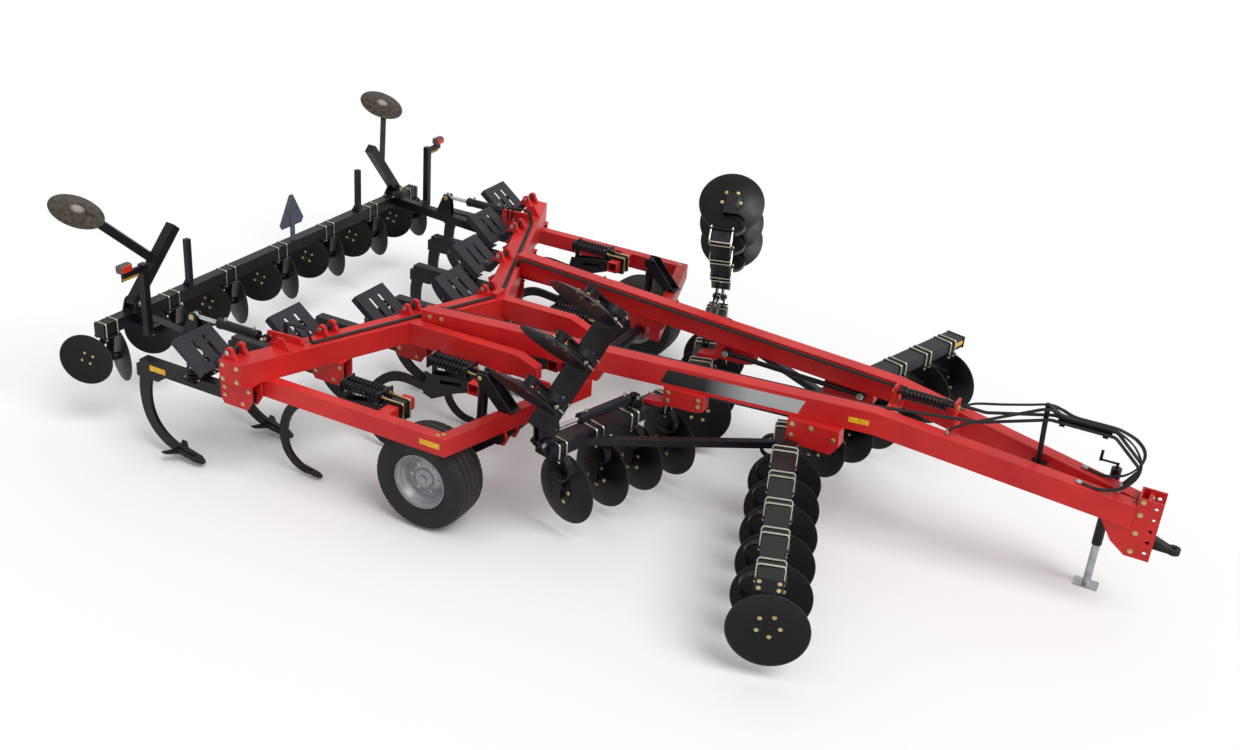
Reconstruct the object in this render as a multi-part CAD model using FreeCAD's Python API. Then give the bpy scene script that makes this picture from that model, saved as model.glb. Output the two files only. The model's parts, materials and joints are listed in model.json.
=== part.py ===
"""Towed seven-shank disc ripper, parked on its two wheels and its tongue jack.

Millimetres.  +X points forward to the hitch, +Y to the machine's left and +Z up.
The origin is on the ground under the middle of the machine.
"""
import FreeCAD, Part
import math
import os

# toolbar
SHANK_PITCH = 762.0            # spacing of the seven ripper shanks
SHANK_COUNT = 7
SWEEP = 0.404                  # how far the V toolbar runs back for each mm outwards
APEX_X = -1515.0               # centre line of the toolbar on the machine's centre plane
TOOLBAR_WIDTH = 200.0
TOOLBAR_HEIGHT = 190.0
TOOLBAR_BOTTOM = 980.0
TOOLBAR_OVERHANG = 124.0       # toolbar beyond the outermost shank
# main beams
BEAM_WIDTH = 130.0
BEAM_HEIGHT = 190.0
BEAM_TOP = 1272.0              # level stretch
BEAM_REAR_X = -1735.0
BEAM_BEND_X = 2160.0           # the tongue bends down here
BEAM_FRONT_X = 4150.0
BEAM_HALF_SPREAD = 646.0       # outer face from the centre plane, at X = 0
BEAM_TAPER = 0.123             # inward run of each beam for each mm forward
TONGUE_DROP = 0.142            # fall of the tongue for each mm forward
# side frames
RAIL_WIDTH = 100.0
RAIL_HEIGHT = 150.0
RAIL_OUTER_Y = 2200.0
RAIL_REAR_X = -2490.0
RAIL_FRONT_X = -605.0
CROSS_SWEEP = 0.28             # front cross tubes run forward towards the middle
CROSS_INNER_Y = 650.0
INNER_RAIL_OUTER_Y = 960.0
INNER_RAIL_FRONT_X = -540.0
INNER_RAIL_NOSE = 190.0        # length of the sloped nose of an inner rail
WALL = 8.0
# gangs
BLADE_RADIUS = 300.0
BLADE_THICKNESS = 7.0
BLADE_DISH = 55.0
BLADE_PITCH = 405.0
BLADE_AXIS_Z = 425.0
GANG_BAR_WIDTH = 180.0
GANG_BAR_HEIGHT = 100.0
GANG_BAR_TOP = 892.0
BLADE_OFFSET = 72.0            # blade beside its own spring standard
FRONT_GANG_BLADES = 6
FRONT_GANG_ANGLE = 17.9        # outer end forward
FRONT_GANG_OUTER_X = 2130.0
FRONT_GANG_OUTER_Y = 2402.0
FRONT_GANG_INNER_Y = 190.0
REAR_GANG_BLADES = 4
REAR_GANG_ANGLE = 16.8         # outer end rearward
REAR_GANG_OUTER_X = -32.0
REAR_GANG_OUTER_Y = 1690.0
REAR_GANG_INNER_Y = 330.0
STANDARD_WIDTH = 60.0          # spring standards
STANDARD_THICKNESS = 14.0
# wings
WING_BLADES = 3
WING_FOLD = 135.0              # degrees folded past the working position
WING_PIVOT_OUT = 60.0          # pivot beyond the rear bar's outer end
WING_PIVOT_Z = 935.0
WING_BAR_START = 80.0          # from the pivot to the wing's bar
WING_BAR_LENGTH = 1080.0
WING_FIRST_BLADE = 280.0
CYLINDER_RADIUS = 42.0
ROD_RADIUS = 19.0
PIN_RADIUS = 16.0
# ripper shanks
ARM_SIZE = 100.0
ARM_CENTRE_Z = 825.0
ARM_REACH = 1090.0             # arm end behind the toolbar's centre line
SHANK_TIP_BACK = 500.0         # tip behind the toolbar's centre line
SHANK_TIP_Z = 40.0
SHANK_THICKNESS = 32.0
COVER_WIDTH = 400.0
COVER_TOP_BACK = 540.0
COVER_TOP_Z = 1265.0
COVER_LOW_BACK = 250.0
COVER_LOW_Z = 1040.0
# chisels
CHISEL_FIRST_Y = 381.0         # the six chisels run midway between the rippers
CHISEL_CLAMP_X = -622.0        # clamp tube of the innermost pair
CHISEL_TUBE = 100.0
CHISEL_TUBE_Z = 930.0
CHISEL_TIP_Z = 30.0
# wheels
TYRE_RADIUS = 420.0
TYRE_WIDTH = 380.0
RIM_RADIUS = 222.0
WHEEL_Y = 1888.0
AXLE_X = -940.0
LIFT_PIVOT_X = -490.0
LIFT_PIVOT_Z = 768.0
LIFT_SHAFT_RADIUS = 55.0
LIFT_ARM_Y = 1500.0
# leveler
LEVELER_BAR_X = -4010.0
LEVELER_BAR_SIZE = 110.0
LEVELER_BAR_TOP = 1040.0
LEVELER_BAR_HALF = 2290.0
LEVELER_ARM_Y = LEVELER_BAR_HALF - 390.0
LEVELER_END = 85.0             # bar beyond the outermost pair of blades
LEVELER_PITCH = (LEVELER_BAR_HALF - LEVELER_END) / 3
LEVELER_BLADE_RADIUS = 232.0
LEVELER_AXIS_Z = 680.0
LEVELER_TOE = 23.0             # each blade of a pair is turned in by this at its front edge
# hitch
HITCH_HALF = 104.0             # half width over the head's side plates
HITCH_FRONT_X = 4334.0
HITCH_EYE_X = 4480.0
HITCH_EYE_Z = 655.0
HITCH_PIN_RADIUS = 20.0
JACK_X = 3930.0
JACK_Y = 235.0


def vec(x, y, z):
    return FreeCAD.Vector(x, y, z)


def save(name, solids):
    shape = solids[0] if len(solids) == 1 else Part.makeCompound(solids)
    shape.exportStep("parts/" + name + ".step")


def face_of(points):
    return Part.Face(Part.makePolygon(points + [points[0]]))


def side_plate(profile, y, thickness):
    """A plate with an (x, z) outline, from y towards y + thickness."""
    return face_of([vec(x, y, z) for x, z in profile]).extrude(vec(0, thickness, 0))


def flat_plate(outline, z, height):
    """A plate with an (x, y) outline, from z up to z + height."""
    return face_of([vec(x, y, z) for x, y in outline]).extrude(vec(0, 0, height))


def rod(start, end, radius):
    direction = end - start
    return Part.makeCylinder(radius, direction.Length, start, direction)


def pipe(start, end, radius, bore):
    return rod(start, end, radius).cut(rod(start, end, bore))


def bar(start, end, width, height, wall=0.0, up=None):
    """A rectangular bar or, with a wall, an open tube between two points."""
    along = end - start
    length = along.Length
    along.normalize()
    up = up or (vec(1, 0, 0) if abs(along.z) > 0.999 else vec(0, 0, 1))
    across = up.cross(along)
    across.normalize()
    up = along.cross(across)

    def block(w, h):
        corners = [(-w / 2, -h / 2), (w / 2, -h / 2), (w / 2, h / 2), (-w / 2, h / 2)]
        points = [start + across * a + up * b for a, b in corners]
        return face_of(points).extrude(along * length)

    solid = block(width, height)
    if wall:
        solid = solid.cut(block(width - 2 * wall, height - 2 * wall))
    return solid


def mirrored(shape):
    return shape.mirror(vec(0, 0, 0), vec(0, 1, 0))


def both_sides(shapes):
    return shapes + [mirrored(shape) for shape in shapes]


def turned(shape, centre, axis, angle):
    copy = shape.copy()
    copy.rotate(centre, axis, angle)
    return copy


def moved(shape, x, y, z):
    copy = shape.copy()
    copy.translate(vec(x, y, z))
    return copy


# frame
def toolbar_x(y):
    """Centre line of the V toolbar."""
    return APEX_X - SWEEP * abs(y)


def toolbar_half_depth():
    """Half of the toolbar measured along X."""
    return TOOLBAR_WIDTH / 2 * math.sqrt(1 + SWEEP ** 2)


TOOLBAR_TOP = TOOLBAR_BOTTOM + TOOLBAR_HEIGHT
TOOLBAR_END_Y = SHANK_PITCH * (SHANK_COUNT - 1) / 2 + TOOLBAR_OVERHANG
RAIL_TOP = TOOLBAR_BOTTOM
RAIL_BOTTOM = RAIL_TOP - RAIL_HEIGHT
BEAM_BOTTOM = BEAM_TOP - BEAM_HEIGHT


def toolbar():
    half = toolbar_half_depth()
    end = TOOLBAR_END_Y
    run = SWEEP * end
    outline = [
        (APEX_X + half, 0),
        (APEX_X + half - run, -end),
        (APEX_X - half - run, -end),
        (APEX_X - half, 0),
        (APEX_X - half - run, end),
        (APEX_X + half - run, end),
    ]
    return flat_plate(outline, TOOLBAR_BOTTOM, TOOLBAR_HEIGHT)


def shank_stations():
    first = -SHANK_PITCH * (SHANK_COUNT - 1) / 2
    return [first + SHANK_PITCH * i for i in range(SHANK_COUNT)]


LUG_PIN_BACK = 92.0            # pin behind the toolbar's centre line
LUG_PIN_Z = TOOLBAR_TOP + 62.0
LUG_SPAN = 164.0               # over the pair of lugs
LUG_PLATE = 36.0
LUG_PIN_RADIUS = 14.0


def top_lug(y, side):
    """One red ear on the toolbar's top, with its rounded eye."""
    x = toolbar_x(y) - LUG_PIN_BACK
    foot = 75.0
    eye = 36.0
    base = TOOLBAR_TOP
    wire = Part.Wire([
        Part.LineSegment(vec(x - foot, 0, base), vec(x + foot, 0, base)).toShape(),
        Part.LineSegment(vec(x + foot, 0, base), vec(x + eye, 0, LUG_PIN_Z)).toShape(),
        Part.Arc(vec(x + eye, 0, LUG_PIN_Z), vec(x, 0, LUG_PIN_Z + eye), vec(x - eye, 0, LUG_PIN_Z)).toShape(),
        Part.LineSegment(vec(x - eye, 0, LUG_PIN_Z), vec(x - foot, 0, base)).toShape(),
    ])
    inner = LUG_SPAN / 2 - LUG_PLATE
    start = inner if side > 0 else -inner - LUG_PLATE
    plate = Part.Face(wire).extrude(vec(0, LUG_PLATE, 0))
    plate = plate.cut(rod(vec(x, 0, LUG_PIN_Z), vec(x, LUG_PLATE, LUG_PIN_Z), LUG_PIN_RADIUS + 0.3))
    plate.translate(vec(0, y + start, 0))
    return plate


def beam_outer_y(x):
    return BEAM_HALF_SPREAD - BEAM_TAPER * x


def beam_top(x):
    return BEAM_TOP - TONGUE_DROP * max(0.0, x - BEAM_BEND_X)


def beam_bottom(x):
    return beam_top(x) - BEAM_HEIGHT


def main_beam():
    """The left beam: level over the frame, then bent down to the hitch."""
    stations = [BEAM_REAR_X, BEAM_BEND_X, BEAM_FRONT_X]
    upper = [vec(x, beam_outer_y(x), beam_top(x)) for x in stations]
    lower = [vec(x, beam_outer_y(x), beam_bottom(x)) for x in reversed(stations)]
    inward = vec(-BEAM_TAPER, -1, 0)
    inward.normalize()
    return face_of(upper + lower).extrude(inward * BEAM_WIDTH)


def side_rail():
    """The left outer rail, under the toolbar's end, and the cross tube ahead of it."""
    y = RAIL_OUTER_Y - RAIL_WIDTH
    slant = CROSS_SWEEP * RAIL_WIDTH
    outline = [
        (RAIL_REAR_X, y),
        (RAIL_FRONT_X + slant, y),
        (RAIL_FRONT_X, RAIL_OUTER_Y),
        (RAIL_REAR_X, RAIL_OUTER_Y),
    ]
    return flat_plate(outline, RAIL_BOTTOM, RAIL_HEIGHT)


def cross_front_x(y):
    return RAIL_FRONT_X + CROSS_SWEEP * (RAIL_OUTER_Y - abs(y))


def cross_tube():
    """The left cross tube, from the rail's front corner in to the main beam."""
    outer = RAIL_OUTER_Y - RAIL_WIDTH
    depth = RAIL_WIDTH * math.sqrt(1 + CROSS_SWEEP ** 2)
    outline = [
        (cross_front_x(outer), outer),
        (cross_front_x(CROSS_INNER_Y), CROSS_INNER_Y),
        (cross_front_x(CROSS_INNER_Y) - depth, CROSS_INNER_Y),
        (cross_front_x(outer) - depth, outer),
    ]
    return flat_plate(outline, RAIL_BOTTOM, RAIL_HEIGHT)


def cross_hanger():
    """A plate that carries the cross tube's inner end under the main beam."""
    front = cross_front_x(CROSS_INNER_Y)
    y = CROSS_INNER_Y
    top = BEAM_BOTTOM
    profile = [
        (front - 150, RAIL_TOP),
        (front + 40, RAIL_TOP),
        (front + 90, top),
        (front - 210, top),
    ]
    return side_plate(profile, y - 60, 60)


def inner_rail(outer_y):
    """A rail from the toolbar's front face, with a nose cut down at its front."""
    inner_y = outer_y - RAIL_WIDTH
    middle = (outer_y + inner_y) / 2
    rear = toolbar_x(middle) + toolbar_half_depth() - SWEEP * RAIL_WIDTH / 2
    nose = INNER_RAIL_FRONT_X
    profile = [
        (rear, TOOLBAR_BOTTOM),
        (nose, TOOLBAR_BOTTOM),
        (nose, TOOLBAR_BOTTOM + TOOLBAR_HEIGHT * 0.62),
        (nose - INNER_RAIL_NOSE, TOOLBAR_TOP),
        (rear, TOOLBAR_TOP),
    ]
    return side_plate(profile, inner_y, RAIL_WIDTH).cut(toolbar())


def bearing_hanger(y, thickness, rear_foot, top):
    """A plate that hangs a bearing of the lift shaft."""
    x = LIFT_PIVOT_X
    eye = LIFT_SHAFT_RADIUS + 28.0
    profile = [
        (x - rear_foot, top),
        (x + eye * 0.7, top),
        (x + eye, LIFT_PIVOT_Z),
        (x + eye * 0.6, LIFT_PIVOT_Z - eye * 0.8),
        (x - eye * 0.6, LIFT_PIVOT_Z - eye * 0.8),
        (x - eye, LIFT_PIVOT_Z),
    ]
    plate = side_plate(profile, y - thickness / 2, thickness)
    hole = rod(vec(x, y - thickness, LIFT_PIVOT_Z), vec(x, y + thickness, LIFT_PIVOT_Z), LIFT_SHAFT_RADIUS + 0.5)
    return plate.cut(hole)


# hitch
HEAD_PLATE = 20.0
HEAD_TOP = 1055.0
HEAD_FOOT = 550.0
HEAD_HOLES = 5


def hitch_head():
    """Two side plates under and ahead of the beams' ends, a front plate and a top plate."""
    rear = BEAM_FRONT_X - 245
    profile = [
        (rear, beam_bottom(rear)),
        (BEAM_FRONT_X - 120, HEAD_FOOT + 90),
        (BEAM_FRONT_X, HEAD_FOOT),
        (HITCH_FRONT_X, HEAD_FOOT),
        (HITCH_FRONT_X, HEAD_TOP),
        (BEAM_FRONT_X, HEAD_TOP),
        (BEAM_FRONT_X, beam_bottom(BEAM_FRONT_X)),
    ]
    inner = HITCH_HALF - HEAD_PLATE
    plate = side_plate(profile, inner, HEAD_PLATE)
    step = (HEAD_TOP - HEAD_FOOT - 120) / (HEAD_HOLES - 1)
    for i in range(HEAD_HOLES):
        z = HEAD_FOOT + 60 + step * i
        x = HITCH_FRONT_X - 45
        plate = plate.cut(rod(vec(x, 0, z), vec(x, HITCH_HALF + 5, z), 16))
    head = plate.fuse(mirrored(plate))
    front = Part.makeBox(25, 2 * inner, HEAD_TOP - HEAD_FOOT - 40, vec(HITCH_FRONT_X - 120, -inner, HEAD_FOOT + 20))
    back = Part.makeBox(16, 2 * inner, HEAD_TOP - BEAM_BOTTOM + 120, vec(BEAM_FRONT_X, -inner, BEAM_BOTTOM - 120))
    head = head.fuse([front, back])
    return head.cut(main_beam()).cut(mirrored(main_beam())).removeSplitter()


def hitch_eye():
    """A flanged forging with an upright pin hole, sloping down to its eye."""
    inner = HITCH_HALF - HEAD_PLATE
    base_x = HITCH_FRONT_X - 95
    thickness = 44.0
    outer = 50.0
    ring = Part.makeCylinder(outer, thickness, vec(HITCH_EYE_X, 0, HITCH_EYE_Z - thickness / 2))
    block = Part.makeBox(40, 2 * inner, 230, vec(base_x, -inner, HITCH_EYE_Z - 25))
    neck_profile = [
        (base_x + 40, HITCH_EYE_Z + 150),
        (base_x + 40, HITCH_EYE_Z - 22),
        (HITCH_EYE_X, HITCH_EYE_Z - thickness / 2),
        (HITCH_EYE_X, HITCH_EYE_Z + thickness / 2),
        (HITCH_EYE_X - outer * 0.8, HITCH_EYE_Z + thickness / 2),
        (HITCH_FRONT_X, HITCH_EYE_Z + 62),
    ]
    neck = side_plate(neck_profile, -38, 76)
    body = block.fuse([neck, ring])
    hole = Part.makeCylinder(HITCH_PIN_RADIUS, 3 * thickness, vec(HITCH_EYE_X, 0, HITCH_EYE_Z - 1.5 * thickness))
    return body.cut(hole).removeSplitter()


# jack
SLEEVE_RADIUS = 40.0
LEG_RADIUS = 31.0
SLEEVE_BOTTOM = 385.0
SLEEVE_TOP = 1060.0


def jack_sleeve():
    sleeve = pipe(vec(JACK_X, JACK_Y, SLEEVE_BOTTOM), vec(JACK_X, JACK_Y, SLEEVE_TOP), SLEEVE_RADIUS, LEG_RADIUS + 1)
    cap = Part.makeCylinder(SLEEVE_RADIUS, 14, vec(JACK_X, JACK_Y, SLEEVE_TOP))
    crank = rod(vec(JACK_X, JACK_Y, SLEEVE_TOP + 14), vec(JACK_X, JACK_Y, SLEEVE_TOP + 60), 11)
    arm = rod(vec(JACK_X, JACK_Y, SLEEVE_TOP + 52), vec(JACK_X - 130, JACK_Y, SLEEVE_TOP + 52), 9)
    grip = rod(vec(JACK_X - 130, JACK_Y, SLEEVE_TOP + 43), vec(JACK_X - 130, JACK_Y, SLEEVE_TOP + 130), 12)
    seat = beam_outer_y(JACK_X + 45)
    reach = JACK_Y - seat - SLEEVE_RADIUS + 6
    mid = beam_top(JACK_X) - BEAM_HEIGHT / 2
    mount = Part.makeBox(90, reach, 120, vec(JACK_X - 45, seat, mid - 60))
    solid = sleeve.fuse([cap, crank, arm, grip, mount])
    bore = rod(vec(JACK_X, JACK_Y, SLEEVE_BOTTOM), vec(JACK_X, JACK_Y, SLEEVE_TOP), LEG_RADIUS + 1)
    return solid.cut(bore).cut(main_beam()).removeSplitter()


def jack_leg():
    foot = 9.0
    leg = Part.makeCylinder(LEG_RADIUS, SLEEVE_BOTTOM + 365, vec(JACK_X, JACK_Y, 0))
    plate = Part.makeBox(190, 130, foot, vec(JACK_X - 95, JACK_Y - 65, 0))
    return leg.fuse(plate).removeSplitter()


# gangs
def gang_place(shape, outer_x, outer_y, angle):
    """From a gang's own frame (+X forward, +Y outwards, Y = 0 at the bar's outer end)."""
    copy = turned(shape, vec(0, 0, 0), vec(0, 0, 1), angle)
    return moved(copy, outer_x, outer_y, 0)


def front_place(shape):
    return gang_place(shape, FRONT_GANG_OUTER_X, FRONT_GANG_OUTER_Y, -FRONT_GANG_ANGLE)


def rear_place(shape):
    return gang_place(shape, REAR_GANG_OUTER_X, REAR_GANG_OUTER_Y, REAR_GANG_ANGLE)


BAR_BOTTOM = GANG_BAR_TOP - GANG_BAR_HEIGHT
LOOP_RADIUS = 98.0
LOOP_REACH = 100.0
AXIS_BACK = -35.0              # blade axis behind the bar's centre line, so it lies ahead of it
HUB_RADIUS = 62.0
HUB_LENGTH = 36.0
HUB_GAP = 0.3


def standard(loop_side):
    """A C-shaped spring bar under the gang bar, with the foot that holds a blade's hub."""
    t = STANDARD_THICKNESS / 2
    top = BAR_BOTTOM - t
    low = top - 2 * LOOP_RADIUS
    mid = top - LOOP_RADIUS
    turn_x = loop_side * LOOP_REACH
    tail_x = -loop_side * GANG_BAR_WIDTH / 2
    foot_x = -AXIS_BACK - loop_side * 55

    def arc(radius, first, last):
        return Part.Arc(
            vec(turn_x, 0, first), vec(turn_x + loop_side * radius, 0, mid), vec(turn_x, 0, last)
        ).toShape()

    def line(x0, z0, x1, z1):
        return Part.LineSegment(vec(x0, 0, z0), vec(x1, 0, z1)).toShape()

    wire = Part.Wire([
        line(tail_x, top + t, turn_x, top + t),
        arc(LOOP_RADIUS + t, top + t, low - t),
        line(turn_x, low - t, foot_x, low - t),
        line(foot_x, low - t, foot_x, low + t),
        line(foot_x, low + t, turn_x, low + t),
        arc(LOOP_RADIUS - t, low + t, top - t),
        line(turn_x, top - t, tail_x, top - t),
        line(tail_x, top - t, tail_x, top + t),
    ])
    strip = Part.Face(wire).extrude(vec(0, STANDARD_WIDTH, 0))
    strip.translate(vec(0, -STANDARD_WIDTH / 2, 0))
    return strip


def foot(offset):
    """The foot bracket from the spring's lower end out to the hub's face."""
    low = BAR_BOTTOM - STANDARD_THICKNESS - 2 * LOOP_RADIUS
    side = 1 if offset > 0 else -1
    plate = 16.0
    inner = side * (STANDARD_WIDTH / 2 - plate / 2)
    profile = [
        (-AXIS_BACK - 55, low),
        (-AXIS_BACK + 55, low),
        (-AXIS_BACK + 38, BLADE_AXIS_Z - 38),
        (-AXIS_BACK - 38, BLADE_AXIS_Z - 38),
    ]
    web = side_plate(profile, inner - plate / 2, plate)
    face = offset - side * (HUB_LENGTH + HUB_GAP)
    boss = rod(vec(-AXIS_BACK, inner, BLADE_AXIS_Z), vec(-AXIS_BACK, face, BLADE_AXIS_Z), 36)
    return web.fuse(boss)


def blade(radius, dish, thickness):
    """A dished blade round the Y axis, its rim at -dish and its flat centre at Y = 0."""
    flat = radius * 0.38
    profile = [
        vec(0, 0, 0),
        vec(0, 0, flat),
        vec(0, -dish, radius),
        vec(0, -dish - thickness * 0.4, radius),
        vec(0, -thickness, flat),
        vec(0, -thickness, 0),
    ]
    return face_of(profile).revolve(vec(0, 0, 0), vec(0, 1, 0), 360)


def blade_and_hub(offset, cup):
    """A blade with its hub, which points back along the gang towards its foot."""
    side = 1 if offset > 0 else -1
    disc = blade(BLADE_RADIUS, BLADE_DISH, BLADE_THICKNESS)
    if cup < 0:
        disc = disc.mirror(vec(0, 0, 0), vec(0, 1, 0))
    disc.translate(vec(0, offset, 0))
    hub = rod(vec(0, offset, 0), vec(0, offset - side * HUB_LENGTH, 0), HUB_RADIUS)
    both = disc.fuse(hub)
    both.translate(vec(-AXIS_BACK, 0, BLADE_AXIS_Z))
    return both


def gang_bar(length):
    """An open-ended bar from its outer end in."""
    start = vec(0, 0, GANG_BAR_TOP - GANG_BAR_HEIGHT / 2)
    return bar(start, start - vec(0, length, 0), GANG_BAR_WIDTH, GANG_BAR_HEIGHT)


FRONT_BAR_LENGTH = (FRONT_GANG_OUTER_Y - FRONT_GANG_INNER_Y) / math.cos(math.radians(FRONT_GANG_ANGLE))
REAR_BAR_LENGTH = (REAR_GANG_OUTER_Y - REAR_GANG_INNER_Y) / math.cos(math.radians(REAR_GANG_ANGLE))
FRONT_FIRST_STANDARD = -200.0
REAR_FIRST_STANDARD = -120.0


def gang(length, count, first, loop_side, offset):
    pieces = [gang_bar(length)]
    for i in range(count):
        place = first - BLADE_PITCH * i
        assembly = standard(loop_side).fuse(foot(offset))
        pieces.append(moved(assembly, 0, place, 0))
    return pieces


def gang_blades(count, first, offset, cup):
    return [moved(blade_and_hub(offset, cup), 0, first - BLADE_PITCH * i, 0) for i in range(count)]


def front_gang():
    parts = gang(FRONT_BAR_LENGTH, FRONT_GANG_BLADES, FRONT_FIRST_STANDARD, -1, BLADE_OFFSET)
    return [front_place(part) for part in parts]


def front_blades():
    return [front_place(part) for part in gang_blades(FRONT_GANG_BLADES, FRONT_FIRST_STANDARD, BLADE_OFFSET, -1)]


HINGE_PLATE = 14.0
HINGE_EYE = 38.0
HINGE_HALF = 42.0              # inner faces of the rear bar's hinge ears


def hinge_ears():
    """Two ears on the rear bar's outer end that carry the wing's pin."""
    out = WING_PIVOT_OUT
    profile = [
        (-150, GANG_BAR_TOP),
        (-40, WING_PIVOT_Z + 20),
        (out - 10, WING_PIVOT_Z + HINGE_EYE),
        (out + HINGE_EYE, WING_PIVOT_Z),
        (out, WING_PIVOT_Z - HINGE_EYE),
        (0, BAR_BOTTOM + 20),
        (0, GANG_BAR_TOP),
    ]
    ears = []
    for start in (HINGE_HALF, -HINGE_HALF - HINGE_PLATE):
        ears.append(face_of([vec(start, y, z) for y, z in profile]).extrude(vec(HINGE_PLATE, 0, 0)))
    pin = rod(vec(-HINGE_HALF - HINGE_PLATE - 8, out, WING_PIVOT_Z),
              vec(HINGE_HALF + HINGE_PLATE + 8, out, WING_PIVOT_Z), PIN_RADIUS)
    return ears[0].fuse([ears[1], pin])


ANCHOR_IN = 1010.0             # fold cylinder's anchor, in from the bar's outer end
ANCHOR_Z = GANG_BAR_TOP + 100
LUG_RADIUS = 170.0             # wing's cylinder lug from its pivot
LUG_ANGLE = 23.0
EYE_HALF = 15.0
EYE_RADIUS = 34.0


def anchor_ears():
    """The fold cylinder's anchor on top of the rear bar."""
    profile = [
        (-ANCHOR_IN - 70, GANG_BAR_TOP),
        (-ANCHOR_IN + 70, GANG_BAR_TOP),
        (-ANCHOR_IN + 30, ANCHOR_Z + 22),
        (-ANCHOR_IN - 30, ANCHOR_Z + 22),
    ]
    ears = []
    for start in (EYE_HALF + 1, -EYE_HALF - 1 - HINGE_PLATE):
        ears.append(face_of([vec(start, y, z) for y, z in profile]).extrude(vec(HINGE_PLATE, 0, 0)))
    pin = rod(vec(-EYE_HALF - 22, -ANCHOR_IN, ANCHOR_Z), vec(EYE_HALF + 22, -ANCHOR_IN, ANCHOR_Z), PIN_RADIUS)
    return ears[0].fuse([ears[1], pin])


def rear_gang():
    parts = gang(REAR_BAR_LENGTH, REAR_GANG_BLADES, REAR_FIRST_STANDARD, 1, -BLADE_OFFSET)
    parts[0] = parts[0].fuse([hinge_ears(), anchor_ears()]).removeSplitter()
    return [rear_place(part) for part in parts]


def rear_blades():
    return [rear_place(part) for part in gang_blades(REAR_GANG_BLADES, REAR_FIRST_STANDARD, -BLADE_OFFSET, 1)]


# wings
def fold(shape):
    """Swing a wing from its working position up and over its pin."""
    return turned(shape, vec(0, WING_PIVOT_OUT, WING_PIVOT_Z), vec(1, 0, 0), WING_FOLD)


def wing_lug_point():
    """The lug's eye in the gang's own frame, with the wing folded."""
    angle = math.radians(LUG_ANGLE + WING_FOLD)
    return vec(0, WING_PIVOT_OUT + LUG_RADIUS * math.cos(angle), WING_PIVOT_Z + LUG_RADIUS * math.sin(angle))


def wing_arm():
    """Two plates from the pin to the wing's bar, with the cylinder lug above."""
    out = WING_PIVOT_OUT
    z = WING_PIVOT_Z
    lug_y = out + LUG_RADIUS * math.cos(math.radians(LUG_ANGLE))
    lug_z = z + LUG_RADIUS * math.sin(math.radians(LUG_ANGLE))
    start = out + WING_BAR_START
    profile = [
        (out - HINGE_EYE, z),
        (out - HINGE_EYE * 0.6, z + HINGE_EYE * 0.8),
        (lug_y - 24, lug_z + 30),
        (lug_y + 26, lug_z + 22),
        (start + 190, GANG_BAR_TOP),
        (start, GANG_BAR_TOP),
        (start, BAR_BOTTOM + 25),
        (out + 10, z - HINGE_EYE),
    ]
    inner = EYE_HALF + 7
    plates = []
    for x in (inner, -inner - HINGE_PLATE):
        plate = face_of([vec(x, y, w) for y, w in profile]).extrude(vec(HINGE_PLATE, 0, 0))
        plates.append(plate)
    both = plates[0].fuse(plates[1])
    hole = rod(vec(-60, out, z), vec(60, out, z), PIN_RADIUS + 0.5)
    lug_hole = rod(vec(-60, lug_y, lug_z), vec(60, lug_y, lug_z), PIN_RADIUS)
    return both.cut(hole).cut(lug_hole)


WING_OFFSET = 40.0             # a wing's blades sit closer to their standards


def wing_standard_places():
    first = WING_PIVOT_OUT + WING_FIRST_BLADE + WING_OFFSET
    return [first + BLADE_PITCH * i for i in range(WING_BLADES)]


def wing():
    start = WING_PIVOT_OUT + WING_BAR_START
    z = GANG_BAR_TOP - GANG_BAR_HEIGHT / 2
    beam = bar(vec(0, start, z), vec(0, start + WING_BAR_LENGTH, z), GANG_BAR_WIDTH, GANG_BAR_HEIGHT)
    pieces = [beam.fuse(wing_arm()).removeSplitter()]
    for place in wing_standard_places():
        pieces.append(moved(standard(1).fuse(wing_foot()), 0, place, 0))
    return [rear_place(fold(piece)) for piece in pieces]


def wing_foot():
    """A wing's foot is a plain web: the hub bears on its inner face."""
    low = BAR_BOTTOM - STANDARD_THICKNESS - 2 * LOOP_RADIUS
    profile = [
        (-AXIS_BACK - 55, low),
        (-AXIS_BACK + 55, low),
        (-AXIS_BACK + 38, BLADE_AXIS_Z - 38),
        (-AXIS_BACK - 38, BLADE_AXIS_Z - 38),
    ]
    return side_plate(profile, STANDARD_WIDTH / 2 - 16, 16)


def wing_blades():
    """Each hub is short here: it fills the space between its blade and the web."""
    pieces = []
    for place in wing_standard_places():
        disc = blade(BLADE_RADIUS, BLADE_DISH, BLADE_THICKNESS)
        disc.translate(vec(0, -WING_OFFSET - 20, 0))
        hub = rod(vec(0, -WING_OFFSET - 20, 0), vec(0, STANDARD_WIDTH / 2 - 16 - HUB_GAP, 0), HUB_RADIUS * 0.8)
        both = disc.fuse(hub)
        both.translate(vec(-AXIS_BACK, place, BLADE_AXIS_Z))
        pieces.append(rear_place(fold(both)))
    return pieces


# fold cylinders
def cylinder_barrel(start, end, length, across):
    """A barrel from its eye at start towards end, with a bore for the rod."""
    along = end - start
    along.normalize()
    eye = rod(start - across * EYE_HALF, start + across * EYE_HALF, EYE_RADIUS)
    hole = rod(start - across * (EYE_HALF + 1), start + across * (EYE_HALF + 1), PIN_RADIUS + 0.5)
    neck = rod(start, start + along * 84, EYE_HALF - 3)
    tube = rod(start + along * 80, start + along * length, CYLINDER_RADIUS)
    bore = rod(start + along * 100, start + along * (length + 1), ROD_RADIUS + 1)
    return eye.fuse([neck, tube]).cut(hole).cut(bore).removeSplitter()


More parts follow.
